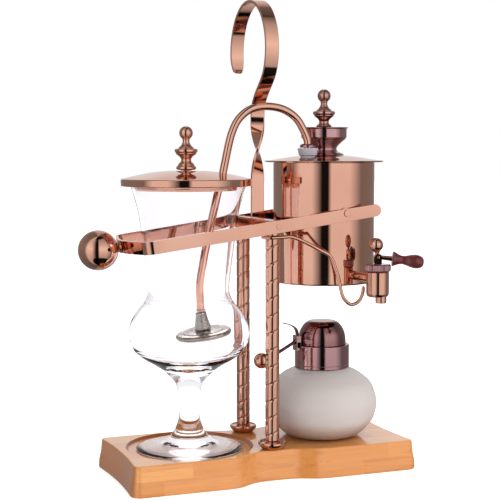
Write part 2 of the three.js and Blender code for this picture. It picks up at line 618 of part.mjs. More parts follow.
// ---- spirit burner, made round its own axis ----
function burner() {
  const z0 = FLOOR_Z;
  const outside = [
    [26, z0], [31.5, z0 + 0.7], [36.6, 30.2], [44.2, 38.2], [47.9, 43.8], [50.4, 53.2], [50.4, 62.6],
    [44.9, 75.7], [35.4, 84.2], [24.8, 89.2], [20.4, 91], [20, 94], [20, 106],
  ];
  const inside = [
    [17.5, 106], [17.5, 92], [24, 86.6], [33.4, 82], [42.4, 74], [47.6, 62], [47.6, 54],
    [42, 40], [34, 32.6],
    [24, 30], [0, 30],
  ];
  const jar = lathe([[0, z0], ...outside, ...inside], 28);
  const collar = [
    [25.1, 89.6], [25.1, 110.6], [24.5, 111], [6, 111], [6, 109.6], [23.9, 109.6],
    [23.9, 90.4], [24, 89.9],
  ];
  const wickTube = [
    [3.6, 100], [5.7, 100], [5.7, 108], [7.4, 108], [7.4, 109.3], [5.7, 109.3], [5.7, 117],
    [3.6, 117], [3.6, 100],
  ];
  const [px, pz] = [CAP_PIN.x, CAP_PIN.z];
  const ears = [-4, 4].map((y) => box([px - 2.4, y - 1, 110.4], [px + 2.4, y + 1, pz + 2.4]));
  const collarBody = cut(
    join(lathe([...collar, collar[0]], 32), box([px - 2.4, -5, 106], [px + 2.4, 5, 114.6]), ...ears),
    rod([px, -9, pz], [px, 9, pz], 1.2, 16),
    rod([0, 0, 80], [0, 0, 109.6], 23.9, 32),
  );
  const ballAt = [4.2 - BURNER_X, 0, 98.5];
  const bend = [[-52.8, 0, 101.4], [-45.5, 0, 104.1], [-39, 0, 107.4], [-33.4, 0, 110.5], [-28.6, 0, 113.3]];
  const handle = new THREE.CatmullRomCurve3(bend.map(v3)).getPoints(8);
  const g = group(
    mesh("burner_jar", jar, frosted),
    mesh("burner_collar", collarBody, mauve),
    mesh("wick_tube", lathe(wickTube, 20), steel),
    mesh("wick", lathe([[0, 34], [3.2, 34], [3.2, 120], [0, 120.6]], 12), cotton),
    mesh("handle_rod", tubing(handle, 1.5, 12), mauve),
    mesh("handle_ball", ball(ballAt, 7.2, 16), copper),
    mesh("cap_pin", rod([px, -5.4, pz], [px, 5.4, pz], 0.9, 12), steel),
    ...snufferCap(),
  );
  g.position.x = BURNER_X;
  return g;
}

// The snuffer cap and the thumb lever on its hinge barrel.
function snufferCap() {
  const outer = [
    [21.9, 111.3], [21.7, 117], [20.6, 122.4], [18, 127.4], [15.4, 130.4], [12.8, 132.2], [0, 132.6],
  ];
  const inner = [
    [0, 131.4], [12, 131], [14.6, 129.2], [17, 126.4], [19.4, 121.8], [20.6, 117], [20.7, 111.3],
  ];
  const [px, pz] = [CAP_PIN.x, CAP_PIN.z];
  const cap = lathe([...outer, ...inner, outer[0]], 32);
  const leaf = new THREE.Shape();
  leaf.moveTo(px - 0.8, pz);
  leaf.lineTo(px + 1, pz);
  leaf.lineTo(px + 1, pz + 6.4);
  leaf.quadraticCurveTo(px - 3, pz + 12.2, px - 13.6, pz + 14.8);
  leaf.lineTo(px - 13.9, pz + 13.9);
  leaf.quadraticCurveTo(px - 4, pz + 10.4, px - 0.8, pz + 5.6);
  const fin = new THREE.ExtrudeGeometry(leaf, { depth: 4.8, bevelEnabled: false, curveSegments: 6 })
    .rotateX(Math.PI / 2).translate(0, 2.4, 0);
  const barrel = rod([px, -2.6, pz], [px, 2.6, pz], 2.4, 16);
  const lever = cut(
    join(barrel, fin, box([px, -2.4, pz - 1.2], [px + 3.4, 2.4, pz + 1.8])),
    rod([px, -9, pz], [px, 9, pz], 1.2, 16),
    lathe([[0, 100], [22.2, 100], [22.2, 111.6], [22, 117], [20.9, 122.6], [18, 128], [0, 133]], 32),
  );
  return [mesh("snuffer_cap", cap, mauve), mesh("cap_lever", lever, mauve)];
}

const siphonCoffeeMaker = group(
  baseBoard(),
  column("column_front", -COLUMN.y),
  column("column_back", COLUMN.y),
  columnFoot("column_foot_front", -COLUMN.y),
  columnFoot("column_foot_back", COLUMN.y),
  columnScrew("column_screw_front", -COLUMN.y),
  columnScrew("column_screw_back", COLUMN.y),
  bridgeBar(),
  carryHook(),
  beamPivot("beam_pivot_front", -1),
  beamPivot("beam_pivot_back", 1),
  beam(),
  steadyWire(),
  boilerCan(),
  boilerLid(),
  fillerFunnel(),
  fillerPlug(),
  siphonTube(),
  ...tubeStopper(),
  filterHead(),
  trunnion("trunnion_front", -1),
  trunnion("trunnion_back", 1),
  tap(),
  brewingGlass(),
  glassLid(),
  burner(),
);

export default siphonCoffeeMaker;
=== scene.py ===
"""Balance siphon coffee maker: the visible pieces and their materials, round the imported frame.

Lengths in this script are millimetres and are turned into metres as meshes are made.
"""

import math

import bmesh
import bpy
from mathutils import Matrix, Vector


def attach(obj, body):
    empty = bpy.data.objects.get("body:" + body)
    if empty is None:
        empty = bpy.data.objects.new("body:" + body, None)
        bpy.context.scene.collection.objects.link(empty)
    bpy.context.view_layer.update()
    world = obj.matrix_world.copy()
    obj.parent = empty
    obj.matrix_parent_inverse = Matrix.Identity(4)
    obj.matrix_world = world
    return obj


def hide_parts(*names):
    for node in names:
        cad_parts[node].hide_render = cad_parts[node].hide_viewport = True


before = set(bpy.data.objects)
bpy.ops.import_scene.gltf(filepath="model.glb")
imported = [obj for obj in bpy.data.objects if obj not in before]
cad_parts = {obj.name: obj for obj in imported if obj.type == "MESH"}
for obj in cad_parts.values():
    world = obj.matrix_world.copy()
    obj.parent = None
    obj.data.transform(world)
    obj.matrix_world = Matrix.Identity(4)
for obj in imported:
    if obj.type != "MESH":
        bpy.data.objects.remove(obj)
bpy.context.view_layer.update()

MM = 0.001
TAU = 2 * math.pi

BOILER_X, BURNER_X, GLASS_X, LID_X = 65, 64, -65, -67
FLOOR_Z = 26.6
PIVOT_Z = 223.1
BEAM_TILT = math.radians(7.7)
TAP_ANGLE, TAP_REACH, TAP_PIVOT_Z = math.radians(-74), 73.3, 196.1
LEVER_ANGLE, LEVER_DROOP = math.radians(-21), math.radians(7)

# the glass's turned seat in the board, whose wall gets painted shade, in metres as shaders read it
SHADED_SEAT_WALL = (0.0536, 0.0574)
SHADED_SEAT_BOTTOM = 0.02

CAMERA_PLACE = (-0.4108, -1.0503, 0.2911)
CAMERA_LENS, CAMERA_DROP, CAMERA_TURN = 90.56, 4.652, -21.024
# which way round the world's reflected boxes face
STUDIO_TURN = 111.2
FLOOR_REACH = 9000


# ---- reflected boxes: start, full from, full to, end (shares of a turn), brightness ----
RIGHT_BOX = (0.25, 0.34, 0.46, 0.48, 1.0)
LEFT_BOX = (0.52, 0.58, 0.66, 0.71, 1.0)
BACK_BOX = (0.94, 0.97, 0.03, 0.07, 0.74)
BETWEEN_BOXES, CAMERA_GAP = 0.26, 0.01


# ---- curves and profiles ----
def flow(points, steps=5):
    """A smooth run through the points (Catmull-Rom)."""
    pts = [Vector(p) for p in points]
    ends = [pts[0] * 2 - pts[1], *pts, pts[-1] * 2 - pts[-2]]
    run = []
    for i in range(1, len(ends) - 2):
        a, b, c, d = ends[i - 1 : i + 3]
        for k in range(steps):
            t = k / steps
            run.append(
                (
                    b * 2
                    + (c - a) * t
                    + (a * 2 - b * 5 + c * 4 - d) * t**2
                    + (b * 3 - a - c * 3 + d) * t**3
                )
                / 2
            )
    return [tuple(p) for p in [*run, pts[-1]]]


def eased(points, radius=0.5, steps=3):
    """The same run with each corner rounded."""
    pts = [Vector(p) for p in points]
    loop = (pts[0] - pts[-1]).length < 1e-6
    run = [] if loop else [pts[0]]
    inner = range(len(pts) - 1) if loop else range(1, len(pts) - 1)
    for i in inner:
        a, b, c = pts[i - 1 if i else -2], pts[i], pts[i + 1]
        back, on = a - b, c - b
        if back.length < 1e-6 or on.length < 1e-6 or back.angle(on) > math.radians(165):
            run.append(b)
            continue
        cut = min(radius, 0.45 * back.length, 0.45 * on.length)
        start, end = b + back.normalized() * cut, b + on.normalized() * cut
        for k in range(steps + 1):
            t = k / steps
            run.append(start * (1 - t) ** 2 + b * 2 * t * (1 - t) + end * t**2)
    run.append(run[0] if loop else pts[-1])
    return [tuple(p) for p in run]


def bezier(a, b, c, d, count):
    a, b, c, d = (Vector(p) for p in (a, b, c, d))
    run = []
    for k in range(1, count + 1):
        t = k / count
        run.append(a * (1 - t) ** 3 + b * 3 * t * (1 - t) ** 2 + c * 3 * t * t * (1 - t) + d * t**3)
    return run


def raised(profile, lift):
    return [(r, z + lift) for r, z in profile]


# ---- meshes ----
def solid(name, verts, faces, sharp=34):
    mesh = bpy.data.meshes.new(name)
    mesh.from_pydata([Vector(v) * MM for v in verts], [], faces)
    bm = bmesh.new()
    bm.from_mesh(mesh)
    bmesh.ops.remove_doubles(bm, verts=bm.verts, dist=1e-7)
    bmesh.ops.dissolve_degenerate(bm, edges=bm.edges, dist=1e-7)
    bmesh.ops.recalc_face_normals(bm, faces=bm.faces)
    bm.to_mesh(mesh)
    bm.free()
    mesh.polygons.foreach_set("use_smooth", [True] * len(mesh.polygons))
    mesh.set_sharp_from_angle(angle=math.radians(sharp))
    obj = bpy.data.objects.new(name, mesh)
    bpy.context.scene.collection.objects.link(obj)
    return obj


def turned_mesh(profile, sides=96, at=(0, 0, 0), axis=None):
    """Vertices and faces of a turned shape, from (radius, height) points."""
    turn = Vector((0, 0, 1)).rotation_difference(Vector(axis)) if axis else None
    verts, faces, rings = [], [], []

    def put(x, y, z):
        p = Vector((x, y, z))
        verts.append(Vector(at) + (turn @ p if turn else p))

    for r, z in profile:
        first = len(verts)
        count = 1 if r < 1e-4 else sides
        for i in range(count):
            put(r * math.cos(TAU * i / sides), r * math.sin(TAU * i / sides), z)
        rings.append([first + (i if count > 1 else 0) for i in range(sides)])
    for a, b in zip(rings, rings[1:]):
        for i in range(sides):
            j = (i + 1) % sides
            face = list(dict.fromkeys((a[i], a[j], b[j], b[i])))
            if len(face) > 2:
                faces.append(face)
    return verts, faces


def turned(name, profile, at=(0, 0, 0), sides=96, axis=None, sharp=34):
    return solid(name, *turned_mesh(profile, sides, at, axis), sharp=sharp)


def lofted(name, rings, sharp=34):
    """A closed body through rings of equal length, its two ends capped."""
    n = len(rings[0])
    verts = [p for ring in rings for p in ring]
    faces = [list(range(n))[::-1], [len(verts) - n + i for i in range(n)]]
    for k in range(len(rings) - 1):
        for i in range(n):
            j = (i + 1) % n
            faces.append([k * n + i, k * n + j, (k + 1) * n + j, (k + 1) * n + i])
    return solid(name, verts, faces, sharp)


def carried(points, section_at, start=(0, 1, 0)):
    """Rings of a section carried along a run without twist; section_at(i) gives (out, across) pairs."""
    pts = [Vector(p) for p in points]
    out = Vector(start)
    rings = []
    for i, p in enumerate(pts):
        tangent = (pts[min(i + 1, len(pts) - 1)] - pts[max(i - 1, 0)]).normalized()
        out = (out - tangent * out.dot(tangent)).normalized()
        across = tangent.cross(out)
        rings.append([p + out * a + across * b for a, b in section_at(i)])
    return rings


def round_bar(name, points, radius, sides=16, start=(0, 1, 0)):
    """A round bar along a run, its ends capped. radius is a number or one for each point."""
    radii = radius if isinstance(radius, list) else [radius] * len(points)

    def section(i):
        return [(
            radii[i] * math.cos(TAU * k / sides), radii[i] * math.sin(TAU * k / sides)
        ) for k in range(sides)]

    return lofted(name, carried(points, section, start))


def pin(name, start, end, radius, ease=0.4, sides=32):
    """A straight turned pin between two points."""
    a, b = Vector(start), Vector(end)
    length = (b - a).length
    profile = eased([(0, 0), (radius, 0), (radius, length), (0, length)], ease)
    return turned(name, profile, a, sides, (b - a).normalized())


def oblong(width, thick, ease, steps=2):
    """A flat bar's section: a rectangle with rounded corners, as (out, across) pairs."""
    w, t = width / 2, thick / 2
    corners = [(w, t), (-w, t), (-w, -t), (w, -t), (w, t)]
    return eased(corners, ease, steps)[:-1]


def block(name, low, high, ease=0.5):
    mesh = bpy.data.meshes.new(name)
    bm = bmesh.new()
    bmesh.ops.create_cube(bm, size=1)
    size = Vector(high) - Vector(low)
    centre = (Vector(high) + Vector(low)) / 2
    for v in bm.verts:
        v.co = Vector([(v.co[i] * size[i] + centre[i]) * MM for i in range(3)])
    bmesh.ops.bevel(
        bm, geom=bm.edges[:] + bm.verts[:], offset=ease * MM, segments=3, profile=0.5,
        affect="EDGES"
    )
    bm.to_mesh(mesh)
    bm.free()
    mesh.polygons.foreach_set("use_smooth", [True] * len(mesh.polygons))
    mesh.set_sharp_from_angle(angle=math.radians(34))
    obj = bpy.data.objects.new(name, mesh)
    bpy.context.scene.collection.objects.link(obj)
    return obj


def fit(obj, material, slot, body, *nodes):
    obj.data.materials.clear()
    obj.data.materials.append(material)
    level = obj.modifiers.new("flat faces stay flat", "WEIGHTED_NORMAL")
    level.keep_sharp = True
    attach(obj, body)
    if nodes:
        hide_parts(*nodes)
    return obj


# ---- materials ----
def hue(code):
    """A linear colour from its sRGB code."""
    parts = [int(code[i : i + 2], 16) / 255 for i in (1, 3, 5)]
    return tuple(c / 12.92 if c <= 0.04045 else ((c + 0.055) / 1.055) ** 2.4 for c in parts) + (1,)


def node(tree, kind, inputs=None, **settings):
    made = tree.nodes.new(kind)
    for key, value in settings.items():
        setattr(made, key, value)
    for key, value in (inputs or {}).items():
        if isinstance(value, bpy.types.NodeSocket):
            tree.links.new(value, made.inputs[key])
        else:
            made.inputs[key].default_value = value
    return made


def ramp(tree, factor, stops, interpolation="LINEAR"):
    made = node(tree, "ShaderNodeValToRGB", {"Fac": factor})
    made.color_ramp.interpolation = interpolation
    elements = made.color_ramp.elements
    while len(elements) < len(stops):
        elements.new(0.5)
    for element, (place, colour) in zip(elements, stops):
        element.position = place
        element.color = colour if isinstance(colour, tuple) else (colour, colour, colour, 1)
    return made.outputs["Color"]


def noise(tree, vector, scale, detail=3.0, roughness=0.5):
    made = node(
        tree, "ShaderNodeTexNoise",
        {"Vector": vector, "Scale": scale, "Detail": detail, "Roughness": roughness}
    )
    return made.outputs["Fac"]


def stretched(tree, vector, scale):
    return node(tree, "ShaderNodeMapping", {"Vector": vector, "Scale": scale}).outputs["Vector"]


def blank(name):
    """A new material's tree, its shader, and the object's own coordinates."""
    material = bpy.data.materials.new(name)
    material.use_nodes = True
    tree = material.node_tree
    tree.nodes.clear()
    shader = node(tree, "ShaderNodeBsdfPrincipled")
    out = node(tree, "ShaderNodeOutputMaterial")
    tree.links.new(shader.outputs["BSDF"], out.inputs["Surface"])
    coords = node(tree, "ShaderNodeTexCoord").outputs["Object"]
    return material, tree, shader, coords


def bump(tree, shader, height, strength, distance=0.0005):
    made = node(tree, "ShaderNodeBump", {"Height": height, "Strength": strength, "Distance": distance})
    tree.links.new(made.outputs["Normal"], shader.inputs["Normal"])


def plated(name, light, deep, smooth=0.05, dull=0.13):
    """Polished plate: a slow drift of tint and gloss, and fine polishing lines."""
    material, tree, shader, coords = blank(name)
    drift = noise(tree, coords, 18, 2)
    tint = ramp(tree, drift, [(0.3, hue(deep)), (0.7, hue(light))])
    fine = noise(tree, stretched(tree, coords, (60, 60, 900)), 1.0, 4)
    smear = node(
        tree, "ShaderNodeMath", {0: noise(tree, coords, 70, 4), 1: fine}, operation="MULTIPLY"
    ).outputs[0]
    tree.links.new(tint, shader.inputs["Base Color"])
    tree.links.new(ramp(tree, smear, [(0.1, smooth), (0.5, dull)]), shader.inputs["Roughness"])
    shader.inputs["Metallic"].default_value = 1
    bump(tree, shader, fine, 0.012)
    return material


def wooden(name):
    """Varnished board glued up from blocks, the grain along X."""
    material, tree, shader, coords = blank(name)
    split = node(tree, "ShaderNodeSeparateXYZ", {"Vector": coords})
    normal = node(tree, "ShaderNodeNewGeometry").outputs["Normal"]
    up = node(tree, "ShaderNodeSeparateXYZ", {"Vector": normal}).outputs["Z"]
    on_top = node(tree, "ShaderNodeMath", {0: up, 1: 0.7}, operation="GREATER_THAN").outputs[0]
    across = node(
        tree,
        "ShaderNodeMix",
        {"Factor": on_top, "A": split.outputs["Z"], "B": split.outputs["Y"]},
        data_type="FLOAT",
    ).outputs["Result"]
    row = node(
        tree, "ShaderNodeMix", {"Factor": on_top, "A": 0.01315, "B": 0.03}, data_type="FLOAT"
    ).outputs["Result"]
    rows = node(tree, "ShaderNodeMath", {0: across, 1: row}, operation="DIVIDE").outputs[0]
    along = node(tree, "ShaderNodeMath", {0: split.outputs["X"], 1: 0.019}, operation="ADD").outputs[0]
    lengths = node(tree, "ShaderNodeMath", {0: along, 1: 0.062}, operation="DIVIDE").outputs[0]
    place = node(tree, "ShaderNodeCombineXYZ", {"X": lengths, "Y": rows}).outputs["Vector"]
    bricks = node(
        tree,
        "ShaderNodeTexBrick",
        {
            "Vector": place,
            "Color1": (0, 0, 0, 1),
            "Color2": (1, 1, 1, 1),
            "Mortar": (0.5, 0.5, 0.5, 1),
            "Scale": 1.0,
            "Mortar Size": 0.004,
            "Mortar Smooth": 0.0,
            "Bias": 0.0,
            "Brick Width": 1.0,
            "Row Height": 1.0,
        },
        offset=0.42,
    )
    shade = ramp(
        tree, bricks.outputs["Color"],
        [(0, hue("#CC8541")), (0.5, hue("#D48E4A")), (1, hue("#DC9B57"))]
    )
    shift = node(
        tree, "ShaderNodeVectorMath", {0: coords, 1: bricks.outputs["Color"]}, operation="ADD"
    ).outputs[0]
    grain = noise(tree, stretched(tree, shift, (9, 170, 170)), 1.0, 5, 0.6)
    pores = noise(tree, stretched(tree, shift, (60, 1400, 1400)), 1.0, 3)
    bands = ramp(tree, grain, [(0.35, hue("#C98246")), (0.5, hue("#FFFFFF")), (0.75, hue("#F0C79A"))])
    tinted = node(
        tree,
        "ShaderNodeMix",
        {"Factor": 0.3, "A": shade, "B": bands},
        data_type="RGBA",
        blend_type="MULTIPLY",
    ).outputs["Result"]
    specks = ramp(tree, pores, [(0.28, 0.72), (0.42, 1.0)])
    final = node(
        tree,
        "ShaderNodeMix",
        {"Factor": 0.5, "A": tinted, "B": specks},
        data_type="RGBA",
        blend_type="MULTIPLY",
    ).outputs["Result"]
    # painted shade: the turned wall of the glass's seat is darkened as if shadowed in the recess
    from_seat = node(
        tree, "ShaderNodeVectorMath", {0: coords, 1: (GLASS_X * MM, 0, 0)}, operation="SUBTRACT"
    ).outputs[0]
    flat = node(
        tree, "ShaderNodeVectorMath", {0: from_seat, 1: (1, 1, 0)}, operation="MULTIPLY"
    ).outputs[0]
    away = node(tree, "ShaderNodeVectorMath", {0: flat}, operation="LENGTH").outputs["Value"]
    ring = node(
        tree, "ShaderNodeMapRange",
        {"Value": away, "From Min": SHADED_SEAT_WALL[0], "From Max": SHADED_SEAT_WALL[1]}
    ).outputs["Result"]
    seat_shade_ring = ramp(tree, ring, [(0.0, 0.0), (0.06, 1.0), (0.84, 1.0), (0.9, 0.0)])
    raised_part = node(
        tree, "ShaderNodeMath", {0: split.outputs["Z"], 1: SHADED_SEAT_BOTTOM},
        operation="GREATER_THAN"
    ).outputs[0]
    seat_shade_mask = node(tree, "ShaderNodeMath", {0: seat_shade_ring, 1: raised_part}, operation="MULTIPLY").outputs[0]
    final = node(
        tree, "ShaderNodeMix", {"Factor": seat_shade_mask, "A": final, "B": hue("#A4521C")}, data_type="RGBA"
    ).outputs["Result"]
    # end grain takes more of the stain; the darker ends also carry painted shade
    along = node(tree, "ShaderNodeSeparateXYZ", {"Vector": normal}).outputs["X"]
    either_end = node(tree, "ShaderNodeMath", {0: along}, operation="ABSOLUTE").outputs[0]
    end_grain_and_shade = ramp(tree, either_end, [(0.0, 0.0), (0.55, 0.0), (0.85, 0.75), (1.0, 0.75)])
    final = node(
        tree, "ShaderNodeMix", {"Factor": end_grain_and_shade, "A": final, "B": hue("#9A5A2E")}, data_type="RGBA"
    ).outputs["Result"]
    tree.links.new(final, shader.inputs["Base Color"])
    shader.inputs["Roughness"].default_value = 0.28
    shader.inputs["Coat Weight"].default_value = 0.9
    shader.inputs["Coat Roughness"].default_value = 0.04
    bump(tree, shader, grain, 0.05)
    return material


def plain(name, light, deep, rough, scale, coat=0.0, strength=0.1, stretch=(1, 1, 1)):
    """A matt or glossy solid colour with a mottle at the given scale."""
    material, tree, shader, coords = blank(name)
    mottle = noise(tree, stretched(tree, coords, stretch), scale, 4)
    tree.links.new(ramp(tree, mottle, [(0.3, hue(deep)), (0.7, hue(light))]), shader.inputs["Base Color"])
    tree.links.new(
        ramp(tree, mottle, [(0.2, rough * 0.8), (0.8, rough * 1.2)]), shader.inputs["Roughness"]
    )
    shader.inputs["Coat Weight"].default_value = coat
    shader.inputs["Coat Roughness"].default_value = 0.05
    bump(tree, shader, mottle, strength)
    return material


def woven(name):
    """Off-white cotton, a plain weave with slubs."""
    material, tree, shader, coords = blank(name)
    warp = node(
        tree, "ShaderNodeTexWave", {"Vector": coords, "Scale": 420, "Distortion": 1.0},
        bands_direction="X"
    )
    weft = node(
        tree, "ShaderNodeTexWave", {"Vector": coords, "Scale": 420, "Distortion": 1.0},
        bands_direction="Y"
    )
    weave = node(
        tree, "ShaderNodeMath", {0: warp.outputs["Fac"], 1: weft.outputs["Fac"]}, operation="MULTIPLY"
    ).outputs[0]
    tree.links.new(
        ramp(tree, weave, [(0, hue("#C9BDA8")), (1, hue("#E8E0D0"))]), shader.inputs["Base Color"]
    )
    shader.inputs["Roughness"].default_value = 0.95
    bump(tree, shader, weave, 0.5, 0.0003)
    return material


def clear_glass(name):
    material, tree, shader, coords = blank(name)
    shader.inputs["Base Color"].default_value = hue("#F7F5F8")
    shader.inputs["Transmission Weight"].default_value = 1
    shader.inputs["IOR"].default_value = 1.24
    ripple = noise(tree, coords, 14, 1)
    tree.links.new(ramp(tree, ripple, [(0.3, 0.0), (0.8, 0.015)]), shader.inputs["Roughness"])
    bump(tree, shader, ripple, 0.03, 0.001)
    return material


def frosted_glass(name):
    """Acid-frosted glass, with a painted warm glow of the wooden board towards its foot."""
    material, tree, shader, coords = blank(name)
    height = node(tree, "ShaderNodeSeparateXYZ", {"Vector": coords}).outputs["Z"]
    up = node(
        tree, "ShaderNodeMapRange", {"Value": height, "From Min": 0.026, "From Max": 0.09}
    ).outputs["Result"]
    # painted reflection: the warm colour at the foot stands in for light from the wooden board below
    frost_tone_with_board_glow = ramp(tree, up, [(0, hue("#DCC8BA")), (0.3, hue("#E2D8D5")), (1, hue("#DFD8D5"))])
    tree.links.new(frost_tone_with_board_glow, shader.inputs["Base Color"])
    frost = noise(tree, coords, 600, 4)
    tree.links.new(ramp(tree, frost, [(0.2, 0.42), (0.8, 0.58)]), shader.inputs["Roughness"])
    shader.inputs["Transmission Weight"].default_value = 0.45
    shader.inputs["IOR"].default_value = 1.45
    bump(tree, shader, frost, 0.12, 0.0002)
    return material


COPPER = plated("polished_copper", "#E6B39D", "#DCA48D", 0.03, 0.09)
ROSE = plated("rose_plate", "#C59C9D", "#B28788", 0.04, 0.12)
# painted light: the rose plating made lighter and warmer for the plug knob
LIT_KNOB_ROSE = plated("knob_plate_painted_light", "#D6A79B", "#BE8F84", 0.04, 0.11)
# painted shade: the rose plating made darker for the snuffer cap
SHADED_CAP_ROSE = plated("cap_plate_painted_shade", "#A57A7A", "#8E6464", 0.05, 0.13)
# painted shade: the rose plating made much darker for the handle rod and the cap's thumb leaf
SHADED_ROSE = plated("rose_plate_painted_shade", "#6A4645", "#573736", 0.06, 0.16)
STEEL = plated("satin_steel", "#B4AEA6", "#9C958C", 0.22, 0.36)
WOOD = wooden("varnished_wood")
GRIP = plain("red_turned_wood", "#64191C", "#450F10", 0.3, 60, 0.5, 0.08, (6, 6, 1))
SILICONE = plain("silicone", "#C3BFCA", "#ABA7B4", 0.45, 90)
COTTON = woven("cotton")
CLEAR = clear_glass("clear_glass")
FROSTED = frosted_glass("frosted_glass")


# ---- base board ----
def half_width(x):
    t = min(max((x + 40) / 80, 0), 1)
    lobe = 61 + (57 - 61) * t * t * (3 - 2 * t)
    return lobe - (lobe - 47.5) * math.exp(-((x / 31) ** 4))


def board_outline(inset):
    half, corner, dip = 134.5, 9, 2.6
    xs = [-half + corner + (269 - 2 * corner) * i / 72 for i in range(73)]
    front = [(x, -half_width(x)) for x in xs]
    back = [(x, half_width(x)) for x in reversed(xs)]

    def end(sign, wide):
        run = []
        for i in range(25):
            y = (wide - corner) * (i / 12 - 1)
            run.append((sign * (half - dip * (1 - (y / (wide - corner)) ** 2)), y))
        arc = []
        for i in range(1, 6):
            a = math.radians(90 - 15 * i)
            arc.append((
                sign * (half - corner + corner * math.cos(a)), wide - corner + corner * math.sin(a)
            ))
        low = [(x, -y) for x, y in arc]
        return [*low, *run, *reversed(arc)]

    points = [*front, *end(1, 57), *back, *reversed(end(-1, 61))]
    n = len(points)
    moved = []
    for i, (x, y) in enumerate(points):
        (px, py), (qx, qy) = points[i - 1], points[(i + 1) % n]
        out = Vector((qy - py, px - qx)).normalized() * -inset
        moved.append(Vector((x + out.x, y + out.y)))
    return moved


def base_board():
    edge = flow([(0, 0.9), (0.9, 0.1), (4, 0), (9, 0.5), (16, 2), (24.3, 2.7)], 4)
    edge += flow([(24.9, 2.8), (25.8, 3.1), (26.3, 3.9)], 3)[1:]
    rings = [[Vector((p.x, p.y, z)) for p in board_outline(inset)] for z, inset in edge]
    n = len(rings[0])
    verts = [p for ring in rings for p in ring]
    faces = [list(range(n))[::-1]]
    for k in range(len(rings) - 1):
        for i in range(n):
            j = (i + 1) % n
            faces.append([k * n + i, k * n + j, (k + 1) * n + j, (k + 1) * n + i])
    obj = solid("board", verts, faces, 40)
    bm = bmesh.new()
    bm.from_mesh(obj.data)
    rim = [e for e in bm.edges if e.is_boundary]
    seat = eased([(57.4, 26.3), (56.5, 26.3), (54.6, 23.9), (0, 23.9)], 0.6)[1:]
    seat_rings = []
    for r, z in seat:
        count = 1 if r < 1e-4 else 96
        ring = []
        for i in range(count):
            a = TAU * i / 96
            ring.append(bm.verts.new(Vector((GLASS_X + r * math.cos(a), r * math.sin(a), z)) * MM))
        seat_rings.append(ring)
    seat_edges = [bm.edges.new((seat_rings[0][i], seat_rings[0][(i + 1) % 96])) for i in range(96)]
    for a, b in zip(seat_rings, seat_rings[1:]):
        for i in range(96):
            j = (i + 1) % 96
            corners = [a[i], a[j], b[j % len(b)], b[i % len(b)]]
            bm.faces.new(list(dict.fromkeys(corners)))
    bmesh.ops.triangle_fill(bm, edges=rim + seat_edges, use_beauty=True)
    bmesh.ops.recalc_face_normals(bm, faces=bm.faces)
    bm.to_mesh(obj.data)
    bm.free()
    obj.data.polygons.foreach_set("use_smooth", [True] * len(obj.data.polygons))
    obj.data.set_sharp_from_angle(angle=math.radians(28))
    fit(obj, WOOD, "wood", "frame", "base_board")


# ---- columns, bridge and hook ----
def column(name, y, screw, foot):
    """A column with a groove that winds up it, flat at both ends."""
    radius, low, high, pitch, sides = 6.2, FLOOR_Z, 217.6, 15, 48
    rings = []
    count = 480
    for k in range(count + 1):
        z = low + (high - low) * k / count
        ring = []
        for i in range(sides):
            a = TAU * i / sides
            turn = (z / pitch - a / TAU) % 1
            off = min(turn, 1 - turn) * pitch
            plain_end = min(1, max(0, (z - low - 6) / 2), max(0, (high - 9 - z) / 2))
            r = radius - 0.55 * math.exp(-((off / 0.75) ** 2)) * plain_end
            ring.append(Vector((r * math.cos(a), y + r * math.sin(a), z)))
        rings.append(ring)
    fit(lofted(name + "_shaft", rings, 50), COPPER, "copper", "frame", name)
    dish = flow(
        [(9.2, 0.2), (10.2, 1.2), (11.8, 3), (12.5, 4.6), (12.2, 6), (11.2, 6.3), (9.6, 5.3), (6.6, 4.8)],
        4
    )
    ring = [(6.6, 0), (8.8, 0), *dish, (6.6, 0)]
    fit(turned(foot + "_ring", raised(ring, FLOOR_Z), (0, y, 0)), COPPER, "copper", "frame", foot)
    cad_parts[screw].data.materials.clear()
    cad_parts[screw].data.materials.append(STEEL)


def bridge():
    z0 = 217.9
    bar = block("bridge", (-6, -47.6, z0), (6, 47.6, z0 + 10.4), 0.7)
    fit(bar, COPPER, "copper", "frame", "bridge_bar")
    for side, name in ((-1, "front"), (1, "back")):
        end = pin(f"pivot_{name}", (0, side * 47.9, PIVOT_Z), (0, side * 51.3, PIVOT_Z), 2.4, 0.3)
        fit(end, COPPER, "copper", "frame", f"beam_pivot_{name}")


def hook():
    """A flat bar that twists half a turn up its stem, then curls over in the Y-Z plane."""
    samples = [Vector((0, 228.6 + (320 - 228.6) * i / 60)) for i in range(61)]
    samples += bezier((0, 320), (0, 338), (-23.5, 345), (-30.3, 359.5), 20)
    for i in range(1, 61):
        a = math.radians(204.5 + (-16 - 204.5) * i / 60)
        samples.append(Vector((9 + 43.3 * math.cos(a), 377.5 + 43.3 * math.sin(a))))
    samples += bezier(samples[-1], (50.2, 361.6), (48.6, 360.9), (47.1, 360.5), 3)
    section = oblong(12.5, 2.7, 0.7, 3)
    rings = []
    last = len(samples) - 1
    for i, p in enumerate(samples):
        a, b = samples[max(i - 1, 0)], samples[min(i + 1, last)]
        tangent = Vector((0, b.x - a.x, b.y - a.y)).normalized()
        t = min(max((p.y - 257) / 75, 0), 1)
        turn = math.pi * t * t * (3 - 2 * t)
        spin = Matrix.Rotation(turn, 3, tangent)
        wide, flat = spin @ Vector((1, 0, 0)), spin @ tangent.cross(Vector((1, 0, 0)))
        tip = math.sqrt(max(0.0, 1 - ((i - last + 6) / 6.5) ** 2)) if i > last - 6 else 1
        rings.append([Vector((0, p.x, p.y)) + wide * (u * tip) + flat * v for u, v in section])
    fit(lofted("hook", rings, 50), COPPER, "copper", "frame", "carry_hook")


# ---- beam ----
def on_beam(u, y, w):
    """A point of the level beam, tilted to where it rests."""
    c, s = math.cos(BEAM_TILT), math.sin(BEAM_TILT)
    return Vector((u * c - w * s, y, PIVOT_Z + u * s + w * c))


